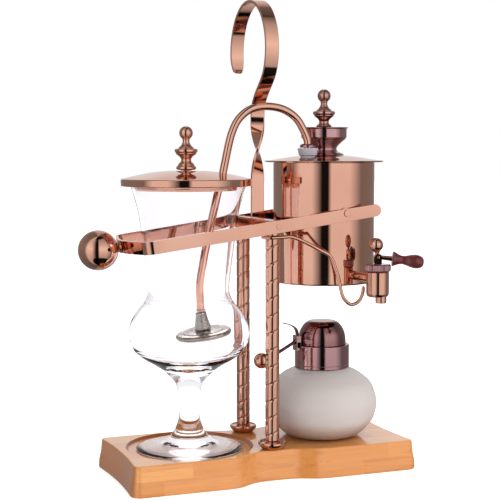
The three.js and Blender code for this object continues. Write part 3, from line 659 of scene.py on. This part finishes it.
def beam():
    y = 48.3 + 1.3
    half = [(99 - 5.6 * (1 - math.cos(math.radians(15 * i))), -y) for i in range(7)]
    half += [(93 + (-108 - 93) * i / 40, -y) for i in range(1, 41)]
    half += [tuple(p) for p in bezier((-108, -y), (-115.2, -y), (-118.4, -47.4), (-119.6, -40), 12)]
    half += [tuple(p) for p in bezier((-119.6, -40), (-123.6, -24.2), (-126.9, -10.7), (-126.9, 0), 16)]
    whole = half + [(u, -v) for u, v in reversed(half[:-1])]
    count = len(whole)
    rings = []
    for i, (u, v) in enumerate(whole):
        (pu, pv), (qu, qv) = whole[max(i - 1, 0)], whole[min(i + 1, count - 1)]
        along = Vector((qu - pu, qv - pv)).normalized()
        side = Vector((along.y, -along.x))
        gap = 99 - u if i < 7 or i > count - 8 else 5.5
        tall = 11 * math.sqrt(max(0.02, 1 - (1 - min(gap / 5.5, 1)) ** 2))
        section = oblong(tall, 2.6, 0.35, 2)
        rings.append([on_beam(u + side.x * t, v + side.y * t, w) for w, t in section])
    fit(lofted("yoke", rings, 45), COPPER, "copper", "beam", "beam_yoke")

    axis = on_beam(-1, 0, 0) - on_beam(0, 0, 0)
    sphere = [(17.4 * math.sin(math.pi * i / 64), -17.4 * math.cos(math.pi * i / 64)) for i in range(65)]
    ball = turned("balance_ball", sphere, on_beam(-147.9, 0, 0), 128, axis)
    fit(ball, COPPER, "copper", "beam", "counterweight_ball")
    collar = eased([(0, 0), (5.6, 0), (4.4, 1.7), (0, 1.7)], 0.3)
    fit(
        turned("ball_neck", collar, on_beam(-128.5, 0, 0), 48, axis), COPPER, "copper", "beam",
        "ball_collar"
    )
    head = eased([(0, 0), (4, 0), (4.4, 0.5), (4.4, 1.8), (3.2, 2.2), (0, 2.2)], 0.3)
    screw = turned("ball_screw_head", head, on_beam(-125, 0, 0), 48, -axis)
    fit(screw, COPPER, "copper", "beam", "ball_screw")


def wire():
    ring = []
    for i in range(24):
        a = math.radians(-20 + i * 11.3)
        ring.append((8.3 * math.cos(a), -36.3 + 8.3 * math.sin(a), 213.3))
    tail = [
        (7, -45, 213.6), (13, -46.2, 213.9), (21.2, -46.9, 211.2), (30.6, -47.3, 206.8), (39.8, -47.8, 201.8),
        (47.5, -48.6, 197.7), (51.2, -49.3, 193.4), (53.5, -50.5, 186.6), (55.6, -52.5, 178),
        (56.4, -54.5, 171),
        (58.1, -56.5, 161.5), (61.5, -58, 156.2), (66, -59, 153.9), (71.4, -60, 156), (74.4, -60.5, 160.3),
        (75.8, -61, 165.6), (76, -61, 170),
    ]
    line = [*ring[:-1], *flow([ring[-1], *tail], 6)]
    radii = [1.6] * (len(line) - 3) + [1.5, 1.2, 0.7]
    fit(round_bar("steady", line, radii, 16, (0, 0, 1)), COPPER, "copper", "wire", "steady_wire")


# ---- boiler ----
def boiler():
    at = (BOILER_X, 0, 0)
    can = [
        (0, 169.6), (40, 169.6), (43.6, 168.9), (45.3, 168.9), (46.2, 170.1), (46.2, 277.6),
        (45.5, 277.6)
    ]
    can += [(45.5, 171), (43, 170.3), (0, 170.3)]
    fit(turned("boiler_body", eased(can, 0.7), at, 160), COPPER, "copper", "boiler", "boiler_can")
    top = flow(
        [(54.3, 278.9), (53.6, 279.5), (50, 279.6), (44, 280.5), (32, 282.5), (20, 283.8), (12, 284.2)],
        5
    )
    under = [
        (12, 283.3), (20, 282.9), (32, 281.6), (44.6, 279.5), (44.6, 273), (45.1, 273),
        (45.1, 278.2), (53.7, 278.1)
    ]
    cover = turned("boiler_cover", [*top, *under, top[0]], at, 160)
    fit(cover, COPPER, "copper", "boiler", "boiler_lid")
    bowl = flow(
        [
            (18.8, 284.3), (16.8, 286), (13.2, 287.6), (11.7, 289.4), (12.2, 291.8), (15.4, 295.2),
            (19.2, 298.4)
        ],
        5
    )
    bowl += [
        (20.7, 300.4), (20.8, 307.8),
        *flow([(21.2, 308.3), (22.1, 308.9), (21.9, 309.5), (21, 309.6)], 3)
    ]
    inner = [
        (20, 308.8), (19.9, 300.8), (15, 296.6), (10.4, 293.2), (7, 292.2), (7, 277.6),
        (9.6, 277.6), (11.6, 281)
    ]
    inner += [(11.6, 284.5), (18, 284.2)]
    funnel = turned("funnel", eased([*bowl, *inner, bowl[0]], 0.3), at, 96)
    fit(funnel, ROSE, "rose_metal", "boiler", "filler_funnel")
    for side, name in ((-1, "front"), (1, "back")):
        boss = [
            (0, 46.5), (5, 46.5), (5, 47.8), (2.4, 47.8), (2.4, 51.2), (3.2, 51.2), (3.1, 51.9),
            (0, 51.95)
        ]
        made = turned(f"journal_{name}", eased(boss, 0.2), (BOILER_X, 0, 233.5), 48, (0, side, 0))
        fit(made, COPPER, "copper", "boiler", f"trunnion_{name}")


def knob(zero):
    """The turned knob of both lids, from its lowest flare up."""
    foot = flow([(7, 0), (6.3, 1), (4.9, 2.2), (4.4, 3.7), (4.8, 5.4), (6.2, 7), (7.9, 8.2), (9, 9.3)], 5)
    disc = [(9, 9.9), *flow([(9.5, 10.4), (10, 11.1), (10.1, 12), (9.9, 13), (9.2, 13.5)], 4)]
    neck = flow(
        [(7, 13.9), (6.6, 14.7), (5.2, 15.9), (3.8, 17.6), (3.1, 19.6), (3, 20.8), (3.3, 21.9)], 5
    )
    start = math.asin(3.3 / 6)
    dome = []
    for i in range(25):
        a = math.pi - start - (math.pi - start) * i / 24
        dome.append((6 * math.sin(a), 27.4 + 6 * math.cos(a)))
    return raised([*foot, *disc, *neck, *dome], zero)


def plug():
    stem = [
        (0, 279), (6.5, 279), (6.5, 292.6), (9, 294.2), (9, 296.6), (4.8, 298), (4.2, 301),
        (4.2, 307.4)
    ]
    made = turned("plug_knob", [*eased(stem, 0.5), (6.8, 309.9), *knob(310.6)], (BOILER_X, 0, 0), 64)
    fit(made, LIT_KNOB_ROSE, "rose_metal", "plug", "filler_plug")


def siphon():
    foot, head = Vector((-55.4, -4)), Vector((41.7, -16.8))
    reach = (head - foot).length
    bends = [
        (0, 146.6), (-0.4, 157), (-0.8, 166), (-0.3, 174.5), (2, 188), (4.4, 201), (7.4, 214),
        (10.3, 228), (13.4, 241),
        (16.4, 254), (19.1, 263), (20.9, 271.5), (23.1, 282), (25.4, 293), (28.4, 304),
        (33.4, 314.5), (40.6, 322),
        (48.7, 326), (60, 327.5), (72, 326), (81, 322), (88.4, 315.7), (93.8, 306.8),
        (96.8, 300), (97.8, 295.4),
        (reach, 290),
    ]
    line = [Vector(p) for p in flow(bends, 5)]
    line += [Vector((reach, 174))]
    way = (head - foot).normalized()
    run = [(foot.x + way.x * p.x, foot.y + way.y * p.x, p.y) for p in line]
    tube = round_bar("tube", run, 3.5, 24)
    fit(tube, COPPER, "copper", "boiler", "siphon_tube")
    band = eased([(3.5, 147.4), (4.4, 147.4), (4.4, 149), (3.5, 149), (3.5, 147.4)], 0.25)
    fit(turned("tube_band", band, (foot.x, foot.y, 0), 48), STEEL, "steel", "boiler")
    at = (head.x, head.y, 0)
    bung = [
        (4, 272), (6, 272), (6.7, 283.9), (8, 284.3), (8.6, 287.6), (9.3, 290.6), (4, 290.8),
        (4, 272)
    ]
    fit(turned("bung", eased(bung, 0.5), at, 64), SILICONE, "silicone", "boiler", "tube_stopper")
    band = [(3.9, 291.1), (7.1, 291.1), (7.2, 293), (5.6, 294.5), (3.9, 294.6), (3.9, 291.1)]
    fit(turned("ferrule", eased(band, 0.4), at, 48), ROSE, "rose_metal", "boiler", "stopper_ferrule")

    lean = Vector((-math.sin(math.radians(7.5)), 0, math.cos(math.radians(7.5))))
    centre = Vector((foot.x + 2.1, foot.y, 130.2))
    cone = [(0, 15.9), (4.3, 15.9), (4.9, 15.4), (5, 12.4), (7.3, 1.8), (7.3, 0.5), (0, 0.3)]
    fit(
        turned("strainer_cone", eased(cone, 0.4), centre, 48, lean), STEEL, "steel", "boiler",
        "filter_cone"
    )
    dish = [
        (0, 0), (9, -0.2), (17.6, -0.9), (18.4, -1.6), (19.4, -1.1), (23.6, -1.8), (24.8, -2.9),
        (25, -4.2)
    ]
    dish += [(24.4, -4.6), (0, -4.6)]
    fit(turned("strainer", eased(dish, 0.5), centre, 96, lean), STEEL, "steel", "boiler", "filter_disc")
    skin = [(0, -4.8), (24.2, -4.8), (24.3, -5.3), (23.6, -5.9), (12, -6), (0, -6)]
    cloth = turned("filter_skin", eased(skin, 0.3), centre, 96, lean)
    fit(cloth, COTTON, "cotton", "boiler", "filter_cloth")


# ---- tap ----
def tap_place(x, y, z):
    """A point in the tap's own frame (x away from the boiler), put where the tap is."""
    c, s = math.cos(TAP_ANGLE), math.sin(TAP_ANGLE)
    return Vector((BOILER_X + (TAP_REACH + x) * c - y * s, (TAP_REACH + x) * s + y * c, z))


def lever_place(x, y, z):
    """A point in the lever's own frame (x out along the arm, level), put where the lever is."""
    c, s = math.cos(LEVER_ANGLE), math.sin(LEVER_ANGLE)
    return tap_place(0, 0, z) + Vector((x * c - y * s, x * s + y * c, 0))


def fluted(name, profile, at, flutes, depth, beyond):
    """A turned ring with rounded flutes round the part that lies beyond a radius."""
    verts, faces = turned_mesh(profile, flutes * 6, (0, 0, 0))
    for v in verts:
        r = math.hypot(v.x, v.y)
        if r > beyond:
            share = 1 - depth * (0.5 + 0.5 * math.cos(flutes * math.atan2(v.y, v.x))) / r
            v.x, v.y = v.x * share, v.y * share
    return solid(name, [v + Vector(at) for v in verts], faces, 50)


def tap():
    centre = tap_place(0, 0, 0)
    out = tap_place(1, 0, 0) - centre
    z = TAP_PIVOT_Z
    shell = [
        (0, 170), (3.3, 172), (3.3, 183.2), (9.4, 183.2), (10, 182.5), (10, 178), (10, 164),
        (9.2, 162)
    ]
    shell += [(7.4, 161), (0, 161)]
    fit(turned("tap_barrel", eased(shell, 0.6), centre, 72), COPPER, "copper", "boiler", "tap_body")
    spout = eased([(2.6, 166), (4.85, 166), (4.85, 157), (4.6, 156), (2.7, 156), (2.6, 166)], 0.3)
    fit(turned("tap_spout", spout, tap_place(4.4, 0, 0), 48), COPPER, "copper", "boiler")
    run = [(0, -26.8), (4.15, -26.8), (4.15, -10.6), (5.4, -10), (5.4, -8.8), (0, -8.8)]
    pipe = turned("tap_neck", eased(run, 0.4), tap_place(0, 0, 177.4), 48, out)
    fit(pipe, COPPER, "copper", "boiler", "tap_pipe")
    nut = [
        (3.3, 183.5), (10.4, 183.5), (11.4, 184.3), (11.4, 189.1), (10.4, 189.9), (3.3, 189.9),
        (3.3, 183.5)
    ]
    fit(
        fluted("tap_nut", eased(nut, 0.4), centre, 36, 0.5, 10.2), ROSE, "rose_metal", "boiler",
        "tap_collar"
    )
    stem = turned("valve_stem", eased([(0, 174), (1.9, 174), (1.9, 192.1), (0, 192.1)], 0.4), centre, 32)
    fit(stem, STEEL, "steel", "boiler", "tap_plunger")
    for name, y in (("left", -3.55), ("right", 3.55)):
        ear = []
        for x, h in (
            (-3.2, 190.2), (3.2, 190.2), (3.2, z + 0.6), (1.8, z + 2.6), (-1.8, z + 2.6),
            (-3.2, z + 0.6)
        ):
            ear.append((x, h))
        shape = eased([*ear, ear[0]], 0.8)[:-1]
        rings = [[lever_place(x, y + d, h) for x, h in shape] for d in (-0.85, 0.85)]
        made = lofted(f"fork_{name}", rings)
        fit(made, COPPER, "copper", "boiler", *(["tap_fork"] if y < 0 else []))
    axle = pin("fork_pin", lever_place(0, -5.2, z), lever_place(0, 5.2, z), 1.2, 0.3)
    fit(axle, COPPER, "copper", "boiler", "tap_pin")

    side = lever_place(0, 1, 0) - lever_place(0, 0, 0)
    away = lever_place(1, 0, 0) - lever_place(0, 0, 0)
    droop = away * math.cos(LEVER_DROOP) + Vector((0, 0, -math.sin(LEVER_DROOP)))
    hub = [(0, -2.4), (3, -2.4), (3.4, -2), (3.4, 2), (3, 2.4), (0, 2.4)]
    made = turned("lever_hub", eased(hub, 0.3), lever_place(0, 0, z), 40, side)
    fit(made, COPPER, "copper", "tap", "tap_lever")
    top = [(0, 1), (2, 1), (1.8, 3), (2.2, 4.2), (3, 5.3)]
    start = math.asin(3 / 6.2)
    for i in range(25):
        a = math.pi - start - (math.pi - start) * i / 24
        top.append((6.2 * math.sin(a), 10.7 + 6.2 * math.cos(a)))
    knob_up = Vector((0, 0, 1)) - away * 0.15
    fit(turned("lever_knob", top, lever_place(0, 0, z), 64, knob_up), COPPER, "copper", "tap")
    arm = [(0, 2), (1.9, 2), (2, 7), (2.3, 12.4), (0, 12.4)]
    fit(turned("lever_arm", eased(arm, 0.3), lever_place(0, 0, z), 40, droop), COPPER, "copper", "tap")
    wood = flow(
        [
            (6.1, 12.8), (6.6, 13.2), (6.3, 14), (5.4, 16), (4.3, 18.6), (3.7, 21.2), (4.2, 24.6),
            (5.4, 28.6)
        ],
        5
    )
    wood += flow([(6.05, 32), (5.9, 35), (4.9, 38), (3.2, 39.8), (1.4, 40.3), (0, 40.4)], 5)
    handle = turned("lever_handle", [(0, 12.7), *wood], lever_place(0, 0, z), 64, droop)
    fit(handle, GRIP, "turned_grip", "tap", "tap_grip")


# ---- brewing glass and its lid ----
def goblet():
    foot = 24.2
    under = flow([(0, 29), (20, 27.4), (36, 25.2), (43, foot)], 4)
    edge = flow(
        [
            (46.2, foot), (47.3, foot + 0.7), (46.4, foot + 1.6), (38, 28), (28, 30), (22, 31.8),
            (17, 35.2)
        ],
        5
    )
    stem = flow(
        [
            (12.9, 41.2), (9.8, 50), (9.1, 58), (9.4, 70), (12, 82), (17.2, 89), (26, 97),
            (40.8, 106), (48.4, 112.4)
        ],
        6
    )
    body = flow(
        [
            (52.4, 120), (53.3, 129), (51, 139), (45.2, 148), (40, 154.8), (36.7, 162), (36, 169),
            (37.9, 188)
        ],
        7
    )
    rim = flow([(40.8, 210), (44.4, 234.8), (48.4, 250), (50.3, 256), (51.5, 261)], 6)
    lip = flow([(51.4, 262), (50.5, 262.3), (49.6, 261.8)], 3)
    inside = flow(
        [
            (48.4, 256), (46.4, 250), (41.8, 234.8), (38.2, 210), (35.3, 188), (33.4, 169),
            (34.1, 162), (37.4, 155.4)
        ],
        6
    )
    bottom = flow(
        [(42.4, 149.2), (48.2, 140), (50.7, 129.6), (49.8, 120.6), (45.6, 113.6), (38, 107.8), (24, 101)],
        7
    )
    close = flow([(18, 98.6), (9, 96.2), (0, 95.5)], 5)
    profile = [*under, *edge, *stem, *body, *rim, *lip, *inside, *bottom, *close]
    glass = turned("goblet", profile, (GLASS_X, 0, 0), 144, sharp=60)
    fit(glass, CLEAR, "clear_glass", "frame", "brewing_glass")


def slotted_cover(name, profile, slot, sides=240):
    """A turned cover with a straight slot cut from inside out to its +X edge."""
    made = turned(name, profile, (LID_X, 0, 0), sides)
    tool = block(name + "_slot", *slot, ease=0.01)
    cut = made.modifiers.new("slot", "BOOLEAN")
    cut.operation, cut.object, cut.solver = "DIFFERENCE", tool, "EXACT"
    bpy.context.view_layer.update()
    shape = bpy.data.meshes.new_from_object(made.evaluated_get(bpy.context.evaluated_depsgraph_get()))
    made.modifiers.clear()
    made.data = shape
    bpy.data.objects.remove(tool)
    shape.polygons.foreach_set("use_smooth", [True] * len(shape.polygons))
    shape.set_sharp_from_angle(angle=math.radians(34))
    return made


def goblet_lid():
    top = [
        (56.8, 257.6), (57.3, 258.1), (57.3, 263.4), (56.7, 263.9), (54, 264.6), (48, 266),
        (34, 269), (20, 270.7)
    ]
    under = [
        (2.6, 269.9), (20, 269.5), (34, 267.8), (44, 265.3), (44, 254), (44.9, 254), (44.9, 262.6),
        (56.1, 262.6)
    ]
    profile = eased([*top, (2.6, 271.1), *under, (56.1, 257.6), top[0]], 0.35)
    cover = slotted_cover("goblet_cover", profile, ((-47, -12.2, 240), (5, -1.2, 290)))
    fit(cover, COPPER, "copper", "lid", "glass_lid")
    foot = [(0, 264), (2.3, 264), (2.3, 271.3), (4.8, 271.3), (5.3, 271.7)]
    foot += flow([(7.8, 271.8), (8.7, 272.5), (8.8, 273.5), (8.4, 274.6), (7.4, 275.4)], 4)
    finial = turned("lid_knob", [*foot, *knob(276.5)], (LID_X, 0, 0), 64)
    fit(finial, COPPER, "copper", "lid", "lid_finial")
    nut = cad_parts["lid_nut"]
    nut.data.materials.clear()
    nut.data.materials.append(COPPER)


# ---- spirit burner ----
def burner():
    at = (BURNER_X, 0, 0)
    z0 = FLOOR_Z
    outer = flow(
        [
            (26, z0), (31.6, 27.6), (36.8, 30.6), (44, 38), (48, 44.2), (50.3, 53), (50.3, 61.8),
            (45.4, 75), (36, 83.6)
        ],
        6
    )
    outer += flow([(30, 87), (24.8, 89), (21, 91), (20, 94), (20, 106)], 4)
    inner = [
        (17.5, 106), (17.5, 92),
        *flow([(24, 86.6), (33.4, 82), (42.4, 74), (47.4, 62), (47.4, 54), (42, 40), (34, 32.6)], 4)
    ]
    jar = turned("jar", [(0, z0), *outer, *inner, (24, 30), (0, 30)], at, 128, sharp=60)
    fit(jar, FROSTED, "frosted_glass", "burner", "burner_jar")
    band = [
        (24.2, 89.6), (25.1, 90), (25.1, 92.4), (24.8, 92.8), (25.1, 93.2), (25.1, 110.2),
        (24.6, 111), (6, 111)
    ]
    band += [(6, 109.6), (23.9, 109.6), (23.9, 90.4), (24.2, 89.6)]
    fit(turned("jar_collar", eased(band, 0.5), at, 128), ROSE, "rose_metal", "burner", "burner_collar")
    px, pz = 39, 117.5
    for name, y in (("front", -4), ("back", 4)):
        ear = block(f"ear_{name}", (px - 2.4, y - 1, 108), (px + 2.4, y + 1, pz + 2.4), 0.7)
        fit(ear, ROSE, "rose_metal", "burner")
    fit(block("ear_root", (px - 2.4, -5, 106), (px + 2.4, 5, 114.6), 0.6), ROSE, "rose_metal", "burner")
    fit(pin("cap_axle", (px, -5.6, pz), (px, 5.6, pz), 0.9, 0.3), STEEL, "steel", "burner", "cap_pin")
    tube = [
        (3.6, 100), (5.7, 100), (5.7, 108), (7.4, 108), (7.4, 109.3), (5.7, 109.3), (5.7, 117),
        (3.6, 117), (3.6, 100)
    ]
    fit(turned("wick_sleeve", eased(tube, 0.3), at, 40), STEEL, "steel", "burner", "wick_tube")
    core = [(0, 34), (3.2, 34), (3.3, 60), (3.2, 118), (2.4, 120.2), (0, 120.6)]
    fit(turned("wick_braid", eased(core, 0.5), at, 32), COTTON, "cotton", "burner", "wick")
    rod = flow(
        [(11.2, 0, 101.4), (18.5, 0, 104.1), (25, 0, 107.4), (30.6, 0, 110.5), (36.4, 0, 113.7)], 5
    )
    fit(round_bar("handle_bar", rod, 1.5, 24), SHADED_ROSE, "rose_metal", "burner", "handle_rod")
    sphere = [(
        7.2 * math.sin(math.pi * i / 40), 98.5 - 7.2 * math.cos(math.pi * i / 40)
    ) for i in range(41)]
    fit(turned("handle_knob", sphere, (4.2, 0, 0), 72), COPPER, "copper", "burner", "handle_ball")


def snuffer():
    at = (BURNER_X, 0, 0)
    outer = flow(
        [
            (22, 111.3), (21.9, 114), (21.6, 117.6), (20.6, 122.4), (18.2, 127.2), (15.6, 130.3),
            (13.4, 131.8)
        ],
        5
    )
    top = flow([(12.4, 132.3), (8, 132.5), (0, 132.6)], 3)
    inner = [(0, 131.4), (12, 131), (14.6, 129.2), (17, 126.4), (19.4, 121.8), (20.6, 117), (20.7, 111.3)]
    cap = turned("cap_shell", [*outer, *top, *inner, outer[0]], at, 128)
    fit(cap, SHADED_CAP_ROSE, "rose_metal", "snuffer", "snuffer_cap")
    px, pz = 39, 117.5
    leaf = [Vector((px + 0.4, pz)), Vector((px + 0.2, pz + 3))]
    leaf += bezier((px + 0.2, pz + 3), (px, pz + 9.6), (px - 5, pz + 12.4), (px - 13.7, pz + 14.3), 16)
    count = len(leaf)
    rings = []
    for i, p in enumerate(leaf):
        a, b = leaf[max(i - 1, 0)], leaf[min(i + 1, count - 1)]
        along = (b - a).normalized()
        out = Vector((-along.y, along.x))
        share = i / (count - 1)
        section = oblong(4.8 + 1.6 * math.sin(math.pi * share), 1.6 - 0.7 * share, 0.4, 2)
        rings.append([Vector((p.x + out.x * t, w, p.y + out.y * t)) for w, t in section])
    fin = lofted("thumb_leaf", rings, 45)
    fit(fin, SHADED_ROSE, "rose_metal", "snuffer", "cap_lever")
    barrel = eased([(0, -2.6), (2.4, -2.6), (2.4, 2.6), (0, 2.6)], 0.4)
    fit(turned("cap_barrel", barrel, (px, 0, pz), 32, (0, 1, 0)), ROSE, "rose_metal", "snuffer")
    fit(
        block("cap_bracket", (px, -2.4, pz - 1.2), (px + 4, 2.4, pz + 1.8), 0.4), ROSE,
        "rose_metal", "snuffer"
    )


# ---- stage ----
def studio_light(world):
    """White all round; polished pieces reflect three soft boxes with a dark gap at the front."""
    tree = world.node_tree
    tree.nodes.clear()
    direction = node(tree, "ShaderNodeTexCoord").outputs["Generated"]
    split = node(tree, "ShaderNodeSeparateXYZ", {"Vector": direction})
    angle = node(
        tree, "ShaderNodeMath", {0: split.outputs["Y"], 1: split.outputs["X"]}, operation="ARCTAN2"
    ).outputs[0]
    # 0.5 is the camera's side; a bigger share turns towards the glass
    share = node(
        tree, "ShaderNodeMath", {
            0: angle, 1: -1 / TAU, 2: 0.5 - math.radians(STUDIO_TURN) / TAU + 1
        }, operation="MULTIPLY_ADD"
    ).outputs[0]
    turn = node(tree, "ShaderNodeMath", {0: share}, operation="FRACT").outputs[0]
    _, _, back_full, back_end, back = BACK_BOX
    stops = [(0.0, back), (back_full, back), (back_end, BETWEEN_BOXES)]
    stops += [(RIGHT_BOX[0], BETWEEN_BOXES), (RIGHT_BOX[1], RIGHT_BOX[4]), (RIGHT_BOX[2], RIGHT_BOX[4])]
    stops += [(RIGHT_BOX[3], CAMERA_GAP), (LEFT_BOX[0], CAMERA_GAP)]
    stops += [(LEFT_BOX[1], LEFT_BOX[4]), (LEFT_BOX[2], LEFT_BOX[4]), (LEFT_BOX[3], BETWEEN_BOXES)]
    stops += [(BACK_BOX[0], BETWEEN_BOXES), (BACK_BOX[1], back), (1.0, back)]
    sides = ramp(tree, turn, stops)
    # the boxes are taller on the glass's side and behind
    squat = ramp(tree, turn, [(0.0, 0.62), (0.25, 1.0), (0.55, 1.0), (0.65, 0.62)])
    height = node(
        tree, "ShaderNodeMath", {0: split.outputs["Z"], 1: squat}, operation="MULTIPLY"
    ).outputs[0]
    level = node(tree, "ShaderNodeMath", {0: height, 1: 0.5, 2: 0.5}, operation="MULTIPLY_ADD").outputs[0]
    # bottom edge, brightest height and top edge of the boxes
    falls = [(0.17, CAMERA_GAP), (0.2, 0.5), (0.6, 1.0), (0.95, 0.4), (0.97, CAMERA_GAP)]
    mixed = node(
        tree,
        "ShaderNodeMix",
        {"Factor": 1.0, "A": sides, "B": ramp(tree, level, falls)},
        data_type="RGBA",
        blend_type="MULTIPLY",
    ).outputs["Result"]
    light = node(tree, "ShaderNodeBackground", {"Color": mixed, "Strength": 1.15})
    white = node(tree, "ShaderNodeBackground", {"Color": (1, 1, 1, 1), "Strength": 1.0})
    path = node(tree, "ShaderNodeLightPath").outputs
    glossy = node(
        tree, "ShaderNodeMath", {0: path["Glossy Depth"], 1: 0.5}, operation="GREATER_THAN"
    ).outputs[0]
    # inside a wall of glass, light finds white; past both walls it finds part of the boxes
    outside = node(
        tree, "ShaderNodeMath", {0: path["Transmission Depth"], 1: 0.5}, operation="LESS_THAN"
    ).outputs[0]
    beyond = node(
        tree, "ShaderNodeMath", {0: path["Transmission Depth"], 1: 3.5}, operation="GREATER_THAN"
    ).outputs[0]
    either = node(
        tree, "ShaderNodeMath", {0: beyond, 1: 0.65, 2: outside}, operation="MULTIPLY_ADD"
    ).outputs[0]
    mirrored = node(tree, "ShaderNodeMath", {0: glossy, 1: either}, operation="MULTIPLY").outputs[0]
    # matt surfaces are lit from the front and the right
    soft = ramp(tree, turn, [(0.0, 0.75), (0.5, 1.0), (0.7, 0.6), (1.0, 0.75)])
    ambient = node(tree, "ShaderNodeBackground", {"Color": soft, "Strength": 0.95})
    matt = node(
        tree, "ShaderNodeMixShader",
        {0: path["Is Diffuse Ray"], 1: white.outputs[0], 2: ambient.outputs[0]}
    )
    both = node(tree, "ShaderNodeMixShader", {0: mirrored, 1: matt.outputs[0], 2: light.outputs[0]})
    out = node(tree, "ShaderNodeOutputWorld")
    tree.links.new(both.outputs[0], out.inputs["Surface"])


def area(name, place, size, power):
    data = bpy.data.lights.new(name, "AREA")
    data.size = size
    data.energy = power
    lamp = bpy.data.objects.new(name, data)
    bpy.context.scene.collection.objects.link(lamp)
    lamp.location = place
    lamp.visible_glossy = False
    lamp.rotation_euler = (Vector((0, 0, 0.2)) - Vector(place)).to_track_quat("-Z", "Y").to_euler()


def studio():
    world = bpy.data.worlds.new("studio")
    bpy.context.scene.world = world
    world.use_nodes = True
    studio_light(world)
    area("key", (0.5, -1.6, 1.5), 1.1, 12)
    area("fill", (1.6, -0.7, 0.9), 0.9, 6)
    area("back", (0.3, 1.6, 1.4), 1.2, 12)
    reach = FLOOR_REACH
    corners = [(-reach, -reach, 0), (reach, -reach, 0), (reach, reach, 0), (-reach, reach, 0)]
    floor = solid("floor", corners, [(0, 1, 2, 3)])
    pale, _, shader, _ = blank("pale_floor")
    shader.inputs["Base Color"].default_value = (0.93, 0.93, 0.93, 1)
    shader.inputs["Roughness"].default_value = 0.9
    shader.inputs["Emission Color"].default_value = (1, 1, 1, 1)
    shader.inputs["Emission Strength"].default_value = 0.5
    floor.data.materials.append(pale)
    floor.visible_glossy = False


def camera():
    data = bpy.data.cameras.new("camera")
    data.lens = CAMERA_LENS
    data.sensor_width = 36
    eye = bpy.data.objects.new("camera", data)
    bpy.context.scene.collection.objects.link(eye)
    eye.location = CAMERA_PLACE
    eye.rotation_euler = (math.radians(90 - CAMERA_DROP), 0, math.radians(CAMERA_TURN))
    bpy.context.scene.camera = eye


camera()
base_board()
column("column_front", -36.3, "column_screw_front", "column_foot_front")
column("column_back", 36.3, "column_screw_back", "column_foot_back")
bridge()
hook()
beam()
wire()
boiler()
plug()
siphon()
tap()
goblet()
goblet_lid()
burner()
snuffer()
studio()
bpy.context.scene.view_settings.view_transform = "Standard"
